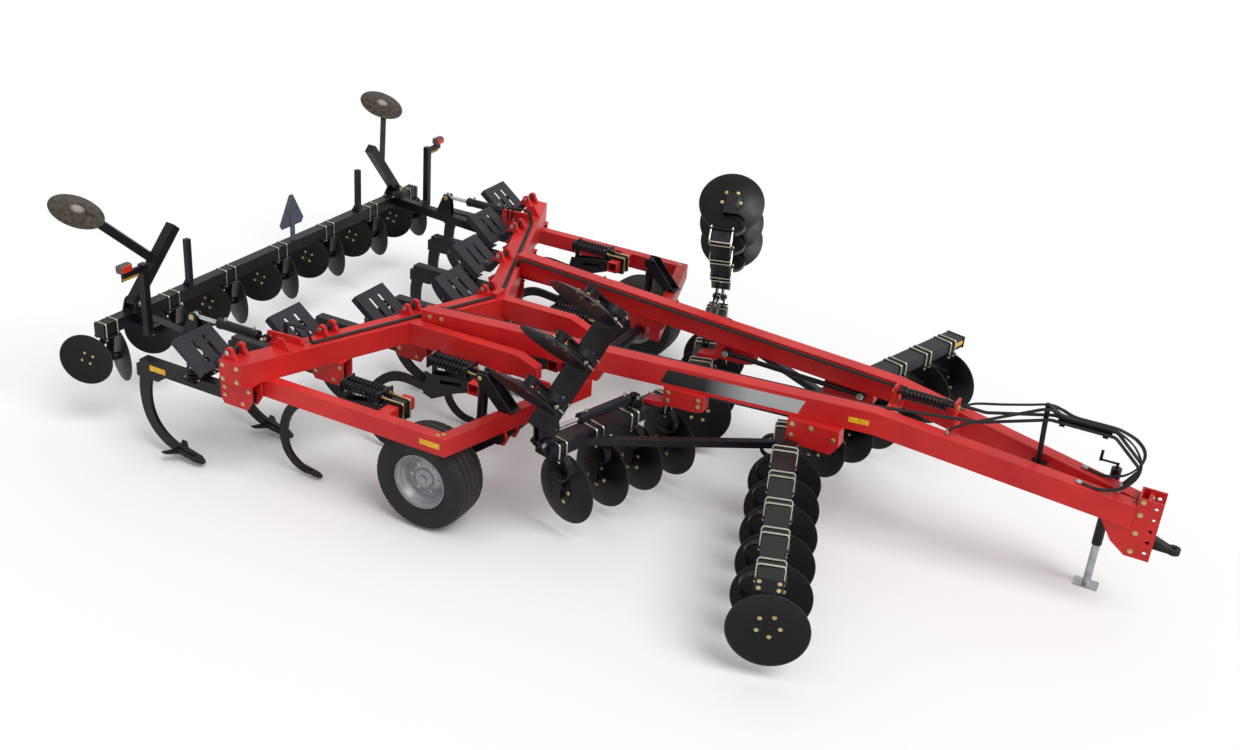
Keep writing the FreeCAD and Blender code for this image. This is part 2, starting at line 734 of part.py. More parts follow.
def cylinder_rod(start, end, root, across):
    """A rod whose eye is at end and whose other end lies in the barrel."""
    along = end - start
    reach = along.Length
    along.normalize()
    stem = rod(start + along * root, start + along * (reach - EYE_RADIUS + 6), ROD_RADIUS)
    eye = rod(end - across * EYE_HALF, end + across * EYE_HALF, EYE_RADIUS)
    hole = rod(end - across * (EYE_HALF + 1), end + across * (EYE_HALF + 1), PIN_RADIUS)
    return stem.fuse(eye).cut(hole).removeSplitter()


FOLD_BARREL = 640.0
FOLD_ROD_ROOT = 240.0


def fold_ends():
    return vec(0, -ANCHOR_IN, ANCHOR_Z), wing_lug_point()


def fold_barrel():
    start, end = fold_ends()
    return rear_place(cylinder_barrel(start, end, FOLD_BARREL, vec(1, 0, 0)))


def fold_rod():
    start, end = fold_ends()
    return rear_place(cylinder_rod(start, end, FOLD_ROD_ROOT, vec(1, 0, 0)))


# gang hangers and stabilizers
HANGER_WIDTH = 120.0
FRONT_HANGER_Y = 440.0
FRONT_HANGER_REAR_X = 1500.0
FRONT_HANGER_FRONT_X = 1940.0
FRONT_HANGER_BOTTOM = 864.0
REAR_HANGER_Y = 540.0
REAR_HANGER_REAR_X = 454.0
REAR_HANGER_FRONT_X = 813.0
REAR_HANGER_BOTTOM = 922.0
FRONT_LINK_PIN = (1843.0, 1035.0)
REAR_LINK_PIN = (574.0, 1020.0)
FRONT_STANDOFF = 60.0          # inner link's middle beside its hanger
REAR_STANDOFF = 50.0
LINK_RADIUS = 22.0


def link_boss(pin, y, standoff):
    """The stub on a hanger's inner face that carries the inner link."""
    reach = HANGER_WIDTH / 2 + standoff + 26
    return rod(vec(pin[0], y, pin[1]), vec(pin[0], y - reach, pin[1]), 20)


def front_hanger():
    """A red bracket under the main beam that meets the front bar's top and front face."""
    y = FRONT_HANGER_Y
    rear = FRONT_HANGER_REAR_X
    front = FRONT_HANGER_FRONT_X
    profile = [
        (rear, GANG_BAR_TOP - 20),
        (front - 60, FRONT_HANGER_BOTTOM),
        (front, FRONT_HANGER_BOTTOM + 85),
        (front - 10, BEAM_BOTTOM),
        (rear, BEAM_BOTTOM),
    ]
    body = side_plate(profile, y - HANGER_WIDTH / 2, HANGER_WIDTH)
    body = body.cut(front_place(gang_bar(FRONT_BAR_LENGTH)))
    return body.fuse(link_boss(FRONT_LINK_PIN, y, FRONT_STANDOFF)).removeSplitter()


def rear_hanger():
    """A red bracket under the main beam, with a shoe back onto the rear bar."""
    y = REAR_HANGER_Y
    rear = REAR_HANGER_REAR_X
    front = REAR_HANGER_FRONT_X
    profile = [
        (rear - 170, GANG_BAR_TOP),
        (rear, GANG_BAR_TOP),
        (rear + 20, REAR_HANGER_BOTTOM),
        (front - 60, REAR_HANGER_BOTTOM + 12),
        (front, REAR_HANGER_BOTTOM + 32),
        (front, BEAM_BOTTOM),
        (rear, BEAM_BOTTOM),
        (rear, REAR_HANGER_BOTTOM + 20),
        (rear - 170, REAR_HANGER_BOTTOM),
    ]
    body = side_plate(profile, y - HANGER_WIDTH / 2, HANGER_WIDTH)
    return body.fuse(link_boss(REAR_LINK_PIN, y, REAR_STANDOFF)).removeSplitter()


def stabilizer(start, end, radius):
    """A round brace with an upright-faced eye at each end."""
    along = end - start
    along.normalize()
    side = vec(0, 1, 0)
    tube = rod(start + along * 30, end - along * 30, radius)
    eyes = [rod(point - side * 18, point + side * 18, 40) for point in (start, end)]
    return tube.fuse(eyes).removeSplitter()


def stabilizers():
    half = HANGER_WIDTH / 2
    inner_start = vec(REAR_LINK_PIN[0], REAR_HANGER_Y - half - REAR_STANDOFF, REAR_LINK_PIN[1])
    inner_end = vec(FRONT_LINK_PIN[0], FRONT_HANGER_Y - half - FRONT_STANDOFF, FRONT_LINK_PIN[1])
    pins = [rod(vec(p[0], y, p[1]), vec(p[0], y - 200, p[1]), 20.5)
            for p, y in ((REAR_LINK_PIN, REAR_HANGER_Y), (FRONT_LINK_PIN, FRONT_HANGER_Y))]
    inner = stabilizer(inner_start, inner_end, LINK_RADIUS).cut(pins[0].fuse(pins[1]))
    mid = GANG_BAR_TOP - GANG_BAR_HEIGHT / 2
    outer = bar(vec(61, 1384, mid - 20), vec(1480, 510, mid), 60, 60)
    outer = outer.cut(front_place(gang_bar(FRONT_BAR_LENGTH))).cut(rear_place(gang_bar(REAR_BAR_LENGTH)))
    return [inner, outer]


# curved bars
def curved_bar(points, widths, y, thickness):
    """A bar bent in the XZ plane, wide as given at each centre point, centred on y."""
    left = []
    right = []
    for i, (x, z) in enumerate(points):
        before = points[max(i - 1, 0)]
        after = points[min(i + 1, len(points) - 1)]
        run = math.hypot(after[0] - before[0], after[1] - before[1])
        nx = -(after[1] - before[1]) / run
        nz = (after[0] - before[0]) / run
        half = widths[i] / 2
        left.append(vec(x + nx * half, y - thickness / 2, z + nz * half))
        right.append(vec(x - nx * half, y - thickness / 2, z - nz * half))
    edges = []
    for side in (left, list(reversed(right))):
        curve = Part.BSplineCurve()
        curve.interpolate(side)
        edges.append(curve.toShape())
    wire = Part.Wire([
        edges[0],
        Part.LineSegment(left[-1], right[-1]).toShape(),
        edges[1],
        Part.LineSegment(right[0], left[0]).toShape(),
    ])
    return Part.Face(wire).extrude(vec(0, thickness, 0))


def tip_plate(x, z, length, drop, width, thickness):
    """A pointed wear plate that slopes forward and down, its nose at (x, z)."""
    outline = [
        vec(-length, -width / 2, 0),
        vec(-length * 0.25, -width / 2, 0),
        vec(0, -width * 0.18, 0),
        vec(0, width * 0.18, 0),
        vec(-length * 0.25, width / 2, 0),
        vec(-length, width / 2, 0),
    ]
    plate = face_of(outline).extrude(vec(0, 0, thickness))
    plate.rotate(vec(0, 0, 0), vec(0, 1, 0), drop)
    plate.translate(vec(x, 0, z))
    return plate


# ripper shanks
ARM_FRONT = 60.0               # arm end ahead of the toolbar's centre line


def shank_arm(y):
    x = toolbar_x(y)
    half = ARM_SIZE / 2
    return Part.makeBox(ARM_REACH + ARM_FRONT, ARM_SIZE, ARM_SIZE, vec(x - ARM_REACH, y - half, ARM_CENTRE_Z - half))


def shank_bracket(y):
    """The red plates under the toolbar that hold an arm between them."""
    x = toolbar_x(y)
    half = ARM_SIZE / 2
    low = ARM_CENTRE_Z - half
    profile = [
        (x - 175, low - 22),
        (x + 60, low - 22),
        (x + 112, low + 60),
        (x + 112, TOOLBAR_BOTTOM - 12),
        (x - 205, TOOLBAR_BOTTOM - 12),
        (x - 205, low + 30),
    ]
    plates = [side_plate(profile, y + half, 18), side_plate(profile, y - half - 18, 18)]
    cap = Part.makeBox(317, ARM_SIZE + 70, 12, vec(x - 205, y - half - 35, TOOLBAR_BOTTOM - 12))
    return cap.fuse(plates)


def ripper_shank(y):
    """The curved shank at the arm's end, its point and its two small wings."""
    x = toolbar_x(y)
    low = ARM_CENTRE_Z - ARM_SIZE / 2
    centre = [
        (x - ARM_REACH + 70, ARM_CENTRE_Z + 20),
        (x - ARM_REACH + 15, low - 80),
        (x - ARM_REACH - 2, 500),
        (x - ARM_REACH + 38, 330),
        (x - ARM_REACH + 160, 180),
        (x - ARM_REACH + 330, 100),
        (x - SHANK_TIP_BACK - 110, SHANK_TIP_Z + 34),
    ]
    body = curved_bar(centre, [130, 120, 110, 104, 96, 80, 60], y, SHANK_THICKNESS)
    cheek_profile = [
        (x - ARM_REACH - 40, low - 60),
        (x - ARM_REACH + 190, low - 60),
        (x - ARM_REACH + 240, ARM_CENTRE_Z),
        (x - ARM_REACH - 40, ARM_CENTRE_Z),
    ]
    cheek = side_plate(cheek_profile, y - ARM_SIZE / 2, ARM_SIZE)
    point = tip_plate(x - SHANK_TIP_BACK, SHANK_TIP_Z, 260, 12, 90, 26)
    point.translate(vec(0, y, 0))
    wing_profile = [
        vec(x - SHANK_TIP_BACK - 280, y, 102),
        vec(x - SHANK_TIP_BACK - 150, y, 78),
        vec(x - SHANK_TIP_BACK - 300, y + 125, 84),
        vec(x - SHANK_TIP_BACK - 350, y + 125, 92),
    ]
    fins = []
    for side in (1, -1):
        corners = [vec(p.x, y + (p.y - y) * side, 92) for p in wing_profile]
        fins.append(face_of(corners).extrude(vec(0, 0, 14)))
    solid = body.fuse([cheek, point] + fins)
    return solid.cut(shank_arm(y)).removeSplitter()


COVER_PLATE = 12.0
COVER_LIP = 62.0


def cover_slope():
    run = COVER_TOP_BACK - COVER_LOW_BACK
    rise = COVER_TOP_Z - COVER_LOW_Z
    return run, rise, math.hypot(run, rise)


def shank_cover(y):
    """The slotted plate behind the toolbar, its side lips, and its links to the lug's pin."""
    x = toolbar_x(y)
    run, rise, length = cover_slope()
    plate = Part.makeBox(length, COVER_WIDTH, COVER_PLATE, vec(0, -COVER_WIDTH / 2, -COVER_PLATE))
    for side in (-1, 1):
        slot = Part.makeBox(length * 0.6, 34, 3 * COVER_PLATE, vec(length * 0.2, side * 62 - 17, -2 * COVER_PLATE))
        plate = plate.cut(slot)
    lips = []
    for start in (-COVER_WIDTH / 2, COVER_WIDTH / 2 - COVER_PLATE):
        lips.append(Part.makeBox(length, COVER_PLATE, COVER_LIP, vec(0, start, -COVER_LIP)))
    back_lip = Part.makeBox(COVER_PLATE, COVER_WIDTH, COVER_LIP, vec(0, -COVER_WIDTH / 2, -COVER_LIP))
    cover = plate.fuse(lips + [back_lip])
    cover.rotate(vec(0, 0, 0), vec(0, 1, 0), math.degrees(math.atan2(rise, run)))
    cover.translate(vec(x - COVER_TOP_BACK, y, COVER_TOP_Z))
    pin_x = x - LUG_PIN_BACK
    links = []
    for start in (-26, 14):
        outline = [
            (pin_x + 30, LUG_PIN_Z - 14),
            (pin_x + 10, LUG_PIN_Z + 26),
            (x - COVER_LOW_BACK + 10, COVER_LOW_Z + 30),
            (x - COVER_LOW_BACK - 90, COVER_LOW_Z + 60),
            (x - COVER_LOW_BACK - 60, COVER_LOW_Z - 30),
            (x - COVER_LOW_BACK + 30, COVER_LOW_Z - 30),
        ]
        links.append(side_plate(outline, y + start, 12))
    reach = LUG_SPAN / 2 + 12
    pin = rod(vec(pin_x, y - reach, LUG_PIN_Z), vec(pin_x, y + reach, LUG_PIN_Z), LUG_PIN_RADIUS)
    links = [link.cut(toolbar()) for link in links]
    return cover.fuse(links + [pin]).removeSplitter()


SPRING_RADIUS = 52.0


def shank_springs(y):
    """Two coil springs that stand on the arm under the cover."""
    x = toolbar_x(y)
    springs = []
    run, rise, length = cover_slope()
    seat_z = ARM_CENTRE_Z + ARM_SIZE / 2
    foot_x = x - COVER_LOW_BACK - 230
    top_x = x - COVER_LOW_BACK - 175
    top_z = COVER_LOW_Z + (top_x - x + COVER_LOW_BACK) * -rise / run
    plate = Part.makeBox(150, 300, 14, vec(foot_x - 75, y - 150, seat_z))
    for side in (-1, 1):
        start = vec(foot_x, y + side * 92, seat_z + 14)
        end = vec(top_x - 20, y + side * 92, top_z - 40)
        springs.append(rod(start, end, SPRING_RADIUS))
    return plate.fuse(springs).removeSplitter()


# chisels
def chisel_places():
    """(clamp X, Y) of the three left chisels; each tube keeps the toolbar's sweep."""
    places = []
    for i in range((SHANK_COUNT - 1) // 2):
        y = CHISEL_FIRST_Y + SHANK_PITCH * i
        places.append((CHISEL_CLAMP_X - SWEEP * SHANK_PITCH * i, y))
    return places


def chisel_arm(x, y):
    """Clamp block round the tube and the two windowed plates that run back from it."""
    half = CHISEL_TUBE / 2
    clamp = Part.makeBox(CHISEL_TUBE + 50, 120, CHISEL_TUBE + 50, vec(x - half - 25, y - 60, CHISEL_TUBE_Z - half - 25))
    tube = Part.makeBox(CHISEL_TUBE, 140, CHISEL_TUBE, vec(x - half, y - 70, CHISEL_TUBE_Z - half))
    clamp = clamp.cut(tube)
    low = CHISEL_TUBE_Z - 180
    high = CHISEL_TUBE_Z + 15
    profile = [
        (x - half - 25, low + 90),
        (x - half - 25, high),
        (x - 520, high - 60),
        (x - 560, low - 60),
        (x - 470, low - 90),
        (x - 260, low + 20),
    ]
    window = [
        (x - 180, low + 105),
        (x - 180, high - 55),
        (x - 390, high - 85),
        (x - 390, low + 75),
    ]
    opening = side_plate(window, y - 60, 120)
    plates = [side_plate(profile, start, 12).cut(opening) for start in (y + 38, y - 50)]
    cross = Part.makeBox(60, 76, 70, vec(x - 500, y - 38, low - 20))
    return clamp.fuse(plates + [cross]).removeSplitter()


def chisel_spring(x, y):
    """Two coil springs side by side over the plates, on a seat each end."""
    z = CHISEL_TUBE_Z + 88
    front = x - 110
    rear = x - 500
    parts = []
    for side in (-1, 1):
        parts.append(rod(vec(front - 18, y + side * 50, z), vec(rear + 18, y + side * 50, z), 42))
    seats = [
        Part.makeBox(18, 190, 96, vec(front - 18, y - 95, z - 52)),
        Part.makeBox(18, 190, 96, vec(rear, y - 95, z - 52)),
    ]
    foot_front = Part.makeBox(70, 24, 76, vec(front - 18, y - 12, z - 52))
    foot_rear = Part.makeBox(44, 24, 250, vec(rear, y - 12, z - 240))
    parts += seats + [foot_front, foot_rear]
    return parts[0].fuse(parts[1:]).cut(chisel_arm(x, y)).removeSplitter()


def chisel_shank(x, y):
    """A spring-mounted curved shank with its point."""
    centre = [
        (x - 400, CHISEL_TUBE_Z - 170),
        (x - 560, CHISEL_TUBE_Z - 200),
        (x - 840, 745),
        (x - 1030, 643),
        (x - 1125, 500),
        (x - 1155, 340),
        (x - 1120, 190),
        (x - 1010, 85),
        (x - 880, CHISEL_TIP_Z + 30),
    ]
    body = curved_bar(centre, [70, 76, 80, 80, 76, 72, 70, 66, 50], y, 30)
    point = tip_plate(x - 770, CHISEL_TIP_Z, 190, 10, 62, 20)
    point.translate(vec(0, y, 0))
    return body.fuse(point).cut(chisel_arm(x, y)).removeSplitter()


def stub_tube(x, start_y, end_y):
    z = CHISEL_TUBE_Z
    return bar(vec(x, start_y, z), vec(x, end_y, z), CHISEL_TUBE, CHISEL_TUBE, WALL)


def rail_with_tube():
    """The left outer rail and the outer chisel's tube."""
    place = chisel_places()[2]
    stub = stub_tube(place[0], RAIL_OUTER_Y - RAIL_WIDTH, place[1] - 155)
    return side_rail().fuse(stub).removeSplitter()


def cross_with_hangers():
    """The left cross tube, its plate to the main beam and two bearing plates of the lift shaft."""
    pivots = [bearing_hanger(y, 16, 30, RAIL_BOTTOM) for y in (LIFT_ARM_Y - 80, LIFT_ARM_Y + 85)]
    return cross_tube().fuse([cross_hanger()] + pivots).removeSplitter()


def inner_rail_set():
    """Both inner rails and the centre member, their noses' plates and their chisel tubes."""
    rail = inner_rail(INNER_RAIL_OUTER_Y)
    nose_top = TOOLBAR_BOTTOM
    hanger = bearing_hanger(INNER_RAIL_OUTER_Y - RAIL_WIDTH / 2, 30, 150, nose_top)
    places = chisel_places()
    stub = stub_tube(places[1][0], INNER_RAIL_OUTER_Y - RAIL_WIDTH / 2, places[1][1] + 155)
    drop = Part.makeBox(150, RAIL_WIDTH, 60, vec(places[1][0] - 75, INNER_RAIL_OUTER_Y - RAIL_WIDTH, TOOLBAR_BOTTOM - 60))
    outer_rail = rail.fuse([hanger, stub, drop]).removeSplitter()
    centre = inner_rail(RAIL_WIDTH / 2)
    middle_hanger = bearing_hanger(0, 30, 150, nose_top)
    reach = places[0][1] + 150
    across = stub_tube(places[0][0], -reach, reach)
    block = Part.makeBox(150, RAIL_WIDTH, 60, vec(places[0][0] - 75, -RAIL_WIDTH / 2, TOOLBAR_BOTTOM - 60))
    centre = centre.fuse([middle_hanger, across, block]).removeSplitter()
    return [outer_rail, mirrored(outer_rail), centre]


# wheels and lift
LIFT_ARM_PLATE = 16.0
LIFT_ARM_HALF = 40.0
AXLE_RADIUS = 32.0
LIFT_LUG_X = -720.0
LIFT_LUG_Z = 640.0
LIFT_ANCHOR_X = -700.0
LIFT_ANCHOR_Z = 1220.0
LIFT_BARREL = 430.0


def lift_shaft():
    """Cross shaft, two trailing arms and their stub axles."""
    reach = LIFT_ARM_Y + 120
    shaft = rod(vec(LIFT_PIVOT_X, -reach, LIFT_PIVOT_Z), vec(LIFT_PIVOT_X, reach, LIFT_PIVOT_Z), LIFT_SHAFT_RADIUS)
    pieces = [shaft]
    run_x = AXLE_X - LIFT_PIVOT_X
    run_z = TYRE_RADIUS - LIFT_PIVOT_Z
    length = math.hypot(run_x, run_z)
    ux = run_x / length
    uz = run_z / length
    for side in (1, -1):
        mid = side * LIFT_ARM_Y
        for start in (mid - LIFT_ARM_HALF, mid + LIFT_ARM_HALF - LIFT_ARM_PLATE):
            profile = [
                (LIFT_PIVOT_X - uz * 45 - ux * 25, LIFT_PIVOT_Z + ux * 45 - uz * 25),
                (AXLE_X - uz * 50 + ux * 55, TYRE_RADIUS + ux * 50 + uz * 55),
                (AXLE_X + uz * 50 + ux * 55, TYRE_RADIUS - ux * 50 + uz * 55),
                (LIFT_LUG_X - 40, LIFT_LUG_Z + 32),
                (LIFT_LUG_X + 20, LIFT_LUG_Z + 44),
                (LIFT_PIVOT_X + uz * 45 - ux * 25, LIFT_PIVOT_Z - ux * 45 - uz * 25),
            ]
            pieces.append(side_plate(profile, start, LIFT_ARM_PLATE))
        web_start = vec(LIFT_PIVOT_X + ux * 40 - uz * 40, mid, LIFT_PIVOT_Z + uz * 40 + ux * 40)
        web_end = vec(AXLE_X - ux * 20 - uz * 30, mid, TYRE_RADIUS - uz * 20 + ux * 30)
        pieces.append(bar(web_start, web_end, 2 * LIFT_ARM_HALF - 4, 14))
        inner = side * (LIFT_ARM_Y - LIFT_ARM_HALF)
        outer = side * (WHEEL_Y + 30)
        pieces.append(rod(vec(AXLE_X, inner, TYRE_RADIUS), vec(AXLE_X, outer, TYRE_RADIUS), AXLE_RADIUS))
        for face in (mid - LIFT_ARM_HALF - 10, mid + LIFT_ARM_HALF):
            pieces.append(rod(vec(LIFT_LUG_X, face, LIFT_LUG_Z), vec(LIFT_LUG_X, face + 10, LIFT_LUG_Z), PIN_RADIUS + 8))
    return pieces[0].fuse(pieces[1:]).removeSplitter()


def lift_anchor():
    """The left lift cylinder's bracket, stood on the cross tube."""
    x = LIFT_ANCHOR_X
    rear = cross_front_x(LIFT_ARM_Y) - RAIL_WIDTH
    profile = [
        (rear - 12, RAIL_TOP),
        (rear + 110, RAIL_TOP),
        (x + 60, LIFT_ANCHOR_Z + 34),
        (x - 34, LIFT_ANCHOR_Z + 34),
        (x - 38, LIFT_ANCHOR_Z - 30),
    ]
    plates = [side_plate(profile, start, 14) for start in (LIFT_ARM_Y + 52, LIFT_ARM_Y - 66)]
    seat = Part.makeBox(110, 132, 14, vec(rear + 4, LIFT_ARM_Y - 66, RAIL_TOP))
    pin = rod(vec(x, LIFT_ARM_Y - 70, LIFT_ANCHOR_Z), vec(x, LIFT_ARM_Y + 70, LIFT_ANCHOR_Z), PIN_RADIUS)
    return plates[0].fuse([plates[1], seat, pin]).removeSplitter()


def lift_ends():
    return vec(LIFT_ANCHOR_X, LIFT_ARM_Y, LIFT_ANCHOR_Z), vec(LIFT_LUG_X, LIFT_ARM_Y, LIFT_LUG_Z)


def lift_barrel():
    start, end = lift_ends()
    return cylinder_barrel(start, end, LIFT_BARREL, vec(0, 1, 0))


def lift_rod():
    """The rod's eye carries a short pin that lies between the arm's plates."""
    start, end = lift_ends()
    stem = cylinder_rod(start, end, 120, vec(0, 1, 0))
    pin = rod(end - vec(0, EYE_HALF + 5, 0), end + vec(0, EYE_HALF + 5, 0), PIN_RADIUS)
    return stem.fuse(pin).removeSplitter()


def wheel():
    """A tyre on its dished rim, bored for the stub axle."""
    half = TYRE_WIDTH / 2
    tyre_profile = [
        vec(0, half - 62, RIM_RADIUS + 2),
        vec(0, half - 22, RIM_RADIUS + 26),
        vec(0, half, RIM_RADIUS + 92),
        vec(0, half - 6, TYRE_RADIUS - 62),
        vec(0, half - 34, TYRE_RADIUS - 18),
        vec(0, half - 88, TYRE_RADIUS),
        vec(0, -half + 88, TYRE_RADIUS),
        vec(0, -half + 34, TYRE_RADIUS - 18),
        vec(0, -half + 6, TYRE_RADIUS - 62),
        vec(0, -half, RIM_RADIUS + 92),
        vec(0, -half + 22, RIM_RADIUS + 26),
        vec(0, -half + 62, RIM_RADIUS + 2),
    ]
    tyre = face_of(tyre_profile).revolve(vec(0, 0, 0), vec(0, 1, 0), 360)
    rim_profile = [
        vec(0, half - 40, RIM_RADIUS + 12),
        vec(0, half - 58, RIM_RADIUS - 16),
        vec(0, 90, RIM_RADIUS - 40),
        vec(0, 40, 150),
        vec(0, 64, 105),
        vec(0, 100, 86),
        vec(0, 100, AXLE_RADIUS + 0.5),
        vec(0, -60, AXLE_RADIUS + 0.5),
        vec(0, -60, 70),
        vec(0, 30, 92),
        vec(0, 26, 160),
        vec(0, 20, RIM_RADIUS - 30),
        vec(0, -half + 58, RIM_RADIUS - 16),
        vec(0, -half + 40, RIM_RADIUS + 12),
        vec(0, -half + 60, RIM_RADIUS + 12),
        vec(0, -half + 64, RIM_RADIUS + 4),
        vec(0, half - 64, RIM_RADIUS + 4),
        vec(0, half - 60, RIM_RADIUS + 12),
    ]
    rim = face_of(rim_profile).revolve(vec(0, 0, 0), vec(0, 1, 0), 360)
    whole = tyre.fuse(rim)
    whole.translate(vec(AXLE_X, WHEEL_Y, TYRE_RADIUS))
    return whole.removeSplitter()


# leveler
LEVELER_HINGE_X = -2480.0
LEVELER_HINGE_Z = 890.0
RAM_PIN_X = -2545.0            # base pin of a leveler cylinder
RAM_PIN_Z = 1176.0
RAM_LUG_X = -3300.0            # rod pin on an arm
RAM_LUG_Z = 1172.0
RAM_BARREL = 500.0
RAM_ROD_ROOT = 140.0
CHEEK_OUTER = LEVELER_ARM_Y - 50.0
CHEEK_INNER = CHEEK_OUTER - 24.0
ARM_TUBE = 90.0
LEVELER_BAR_BOTTOM = LEVELER_BAR_TOP - LEVELER_BAR_SIZE
LEVELER_BAR_FRONT = LEVELER_BAR_X + LEVELER_BAR_SIZE / 2


def leveler_bracket():
    """The left cheek behind the toolbar: arm's pin below, cylinder's pin above."""
    face = toolbar_x(CHEEK_INNER) - toolbar_half_depth()
    profile = [
        (face + 150, TOOLBAR_TOP + 20),
        (face + 120, TOOLBAR_TOP + 66),
        (RAM_PIN_X + 40, RAM_PIN_Z + 48),
        (RAM_PIN_X - 34, RAM_PIN_Z + 40),
        (RAM_PIN_X - 40, RAM_PIN_Z - 30),
        (LEVELER_HINGE_X - 45, LEVELER_HINGE_Z - 35),
        (LEVELER_HINGE_X + 20, LEVELER_HINGE_Z - 45),
        (face + 40, TOOLBAR_BOTTOM - 20),
    ]
    plate = side_plate(profile, CHEEK_INNER, CHEEK_OUTER - CHEEK_INNER).cut(toolbar())
    mid = LEVELER_ARM_Y
    pins = [
        rod(vec(LEVELER_HINGE_X, CHEEK_OUTER - 5, LEVELER_HINGE_Z),
            vec(LEVELER_HINGE_X, mid + ARM_TUBE / 2 + 10, LEVELER_HINGE_Z), 20),
        rod(vec(RAM_PIN_X, CHEEK_OUTER - 5, RAM_PIN_Z),
            vec(RAM_PIN_X, mid + EYE_HALF + 10, RAM_PIN_Z), PIN_RADIUS),
    ]
    return plate.fuse(pins).removeSplitter()


POST_X = -3681.0
POST_Y = LEVELER_BAR_HALF - 227.0
POST_TOP = 1599.0


def leveler_arm():
    """The left arm, hinged at the toolbar, with the cylinder's lug and the lamp post."""
    mid = LEVELER_ARM_Y
    start = vec(LEVELER_HINGE_X, mid, LEVELER_HINGE_Z)
    end = vec(LEVELER_BAR_FRONT, mid, LEVELER_BAR_TOP - LEVELER_BAR_SIZE / 2)
    along = end - start
    along.normalize()
    beam = bar(start + along * 20, end + along * 60, ARM_TUBE, ARM_TUBE)
    limit = Part.makeBox(200, 2 * ARM_TUBE, 400, vec(LEVELER_BAR_FRONT - 200, mid - ARM_TUBE, 800))
    eye = rod(start - vec(0, ARM_TUBE / 2, 0), start + vec(0, ARM_TUBE / 2, 0), ARM_TUBE / 2)
    hole = rod(start - vec(0, ARM_TUBE, 0), start + vec(0, ARM_TUBE, 0), 20.5)
    arm = beam.cut(limit).fuse(eye).cut(hole)
    lug_profile = [
        (RAM_LUG_X - 130, LEVELER_BAR_TOP - 60),
        (RAM_LUG_X + 60, LEVELER_BAR_TOP - 70),
        (RAM_LUG_X + 36, RAM_LUG_Z + 30),
        (RAM_LUG_X - 30, RAM_LUG_Z + 34),
    ]
    lugs = []
    for y in (mid - EYE_HALF - 7 - HINGE_PLATE, mid + EYE_HALF + 7):
        lugs.append(side_plate(lug_profile, y, HINGE_PLATE))
        head = y - 8 if y < mid else y + HINGE_PLATE
        lugs.append(rod(vec(RAM_LUG_X, head, RAM_LUG_Z), vec(RAM_LUG_X, head + 8, RAM_LUG_Z), PIN_RADIUS + 8))
    low = LEVELER_BAR_TOP - 90
    post = [
        Part.makeBox(60, 60, POST_TOP - low, vec(POST_X - 30, POST_Y - 30, low)),
        Part.makeBox(60, POST_Y - mid, 60, vec(POST_X - 30, mid, low)),
        Part.makeBox(30, 230, 50, vec(POST_X - 15, POST_Y, POST_TOP - 60)),
    ]
    return arm.fuse(lugs + post).removeSplitter()


def ram_ends():
    return vec(RAM_PIN_X, LEVELER_ARM_Y, RAM_PIN_Z), vec(RAM_LUG_X, LEVELER_ARM_Y, RAM_LUG_Z)


def ram_barrel():
    start, end = ram_ends()
    return cylinder_barrel(start, end, RAM_BARREL, vec(0, 1, 0))


def ram_rod():
    """The rod's eye carries a short pin that lies between the arm's lugs."""
    start, end = ram_ends()
    stem = cylinder_rod(start, end, RAM_ROD_ROOT, vec(0, 1, 0))
    pin = rod(end - vec(0, EYE_HALF + 4, 0), end + vec(0, EYE_HALF + 4, 0), PIN_RADIUS)
    return stem.fuse(pin).removeSplitter()


WING_AXIS_X = -3990.0
WING_AXIS_Y = LEVELER_BAR_HALF - 385.0
WING_AXIS_Z = 1120.0
WING_TUBE = 90.0


def wing_ears():
    """Two ears on the leveler's bar that carry the left end wing's pin."""
    pieces = []
    reach = WING_TUBE / 2 + 8
    for x in (WING_AXIS_X - reach - 16, WING_AXIS_X + reach):
        corners = [
            vec(x, WING_AXIS_Y - 120, LEVELER_BAR_TOP),
            vec(x, WING_AXIS_Y + 70, LEVELER_BAR_TOP),
            vec(x, WING_AXIS_Y + 40, WING_AXIS_Z + 10),
            vec(x, WING_AXIS_Y + 15, WING_AXIS_Z + 36),
            vec(x, WING_AXIS_Y - 15, WING_AXIS_Z + 36),
            vec(x, WING_AXIS_Y - 40, WING_AXIS_Z + 10),
        ]
        pieces.append(face_of(corners).extrude(vec(16, 0, 0)))
    pin = rod(vec(WING_AXIS_X - reach - 24, WING_AXIS_Y, WING_AXIS_Z),
              vec(WING_AXIS_X + reach + 24, WING_AXIS_Y, WING_AXIS_Z), 16)
    seat = Part.makeBox(LEVELER_BAR_SIZE + 40, 190, 14, vec(LEVELER_BAR_X - 45, WING_AXIS_Y - 120, LEVELER_BAR_TOP))
    return pieces[0].fuse([pieces[1], pin, seat])


def inner_post():
    base = LEVELER_BAR_TOP
    size = 50.0
    y = LEVELER_BAR_HALF - 1075
    upright = Part.makeBox(size, size, 452, vec(LEVELER_BAR_X + 5, y, base))
    profile = [(LEVELER_BAR_X - 50, base), (LEVELER_BAR_X + 50, base), (LEVELER_BAR_X + 30, base + 130)]
    return upright.fuse(side_plate(profile, y + 19, 12))


def leveler_bar():
    half = LEVELER_BAR_SIZE / 2
    beam = Part.makeBox(LEVELER_BAR_SIZE, 2 * LEVELER_BAR_HALF, LEVELER_BAR_SIZE,
                        vec(LEVELER_BAR_X - half, -LEVELER_BAR_HALF, LEVELER_BAR_BOTTOM))
    ends = both_sides([wing_ears(), inner_post()])
    return beam.fuse(ends).removeSplitter()


def leveler_stations():
    return [LEVELER_PITCH * i for i in range(-3, 4)]


def leveler_blade_place(y, side):
    """(X, Y) of a blade's centre: the right blade of each pair trails the left one."""
    return LEVELER_BAR_X - 83 + 81 * side, y + 88 * side


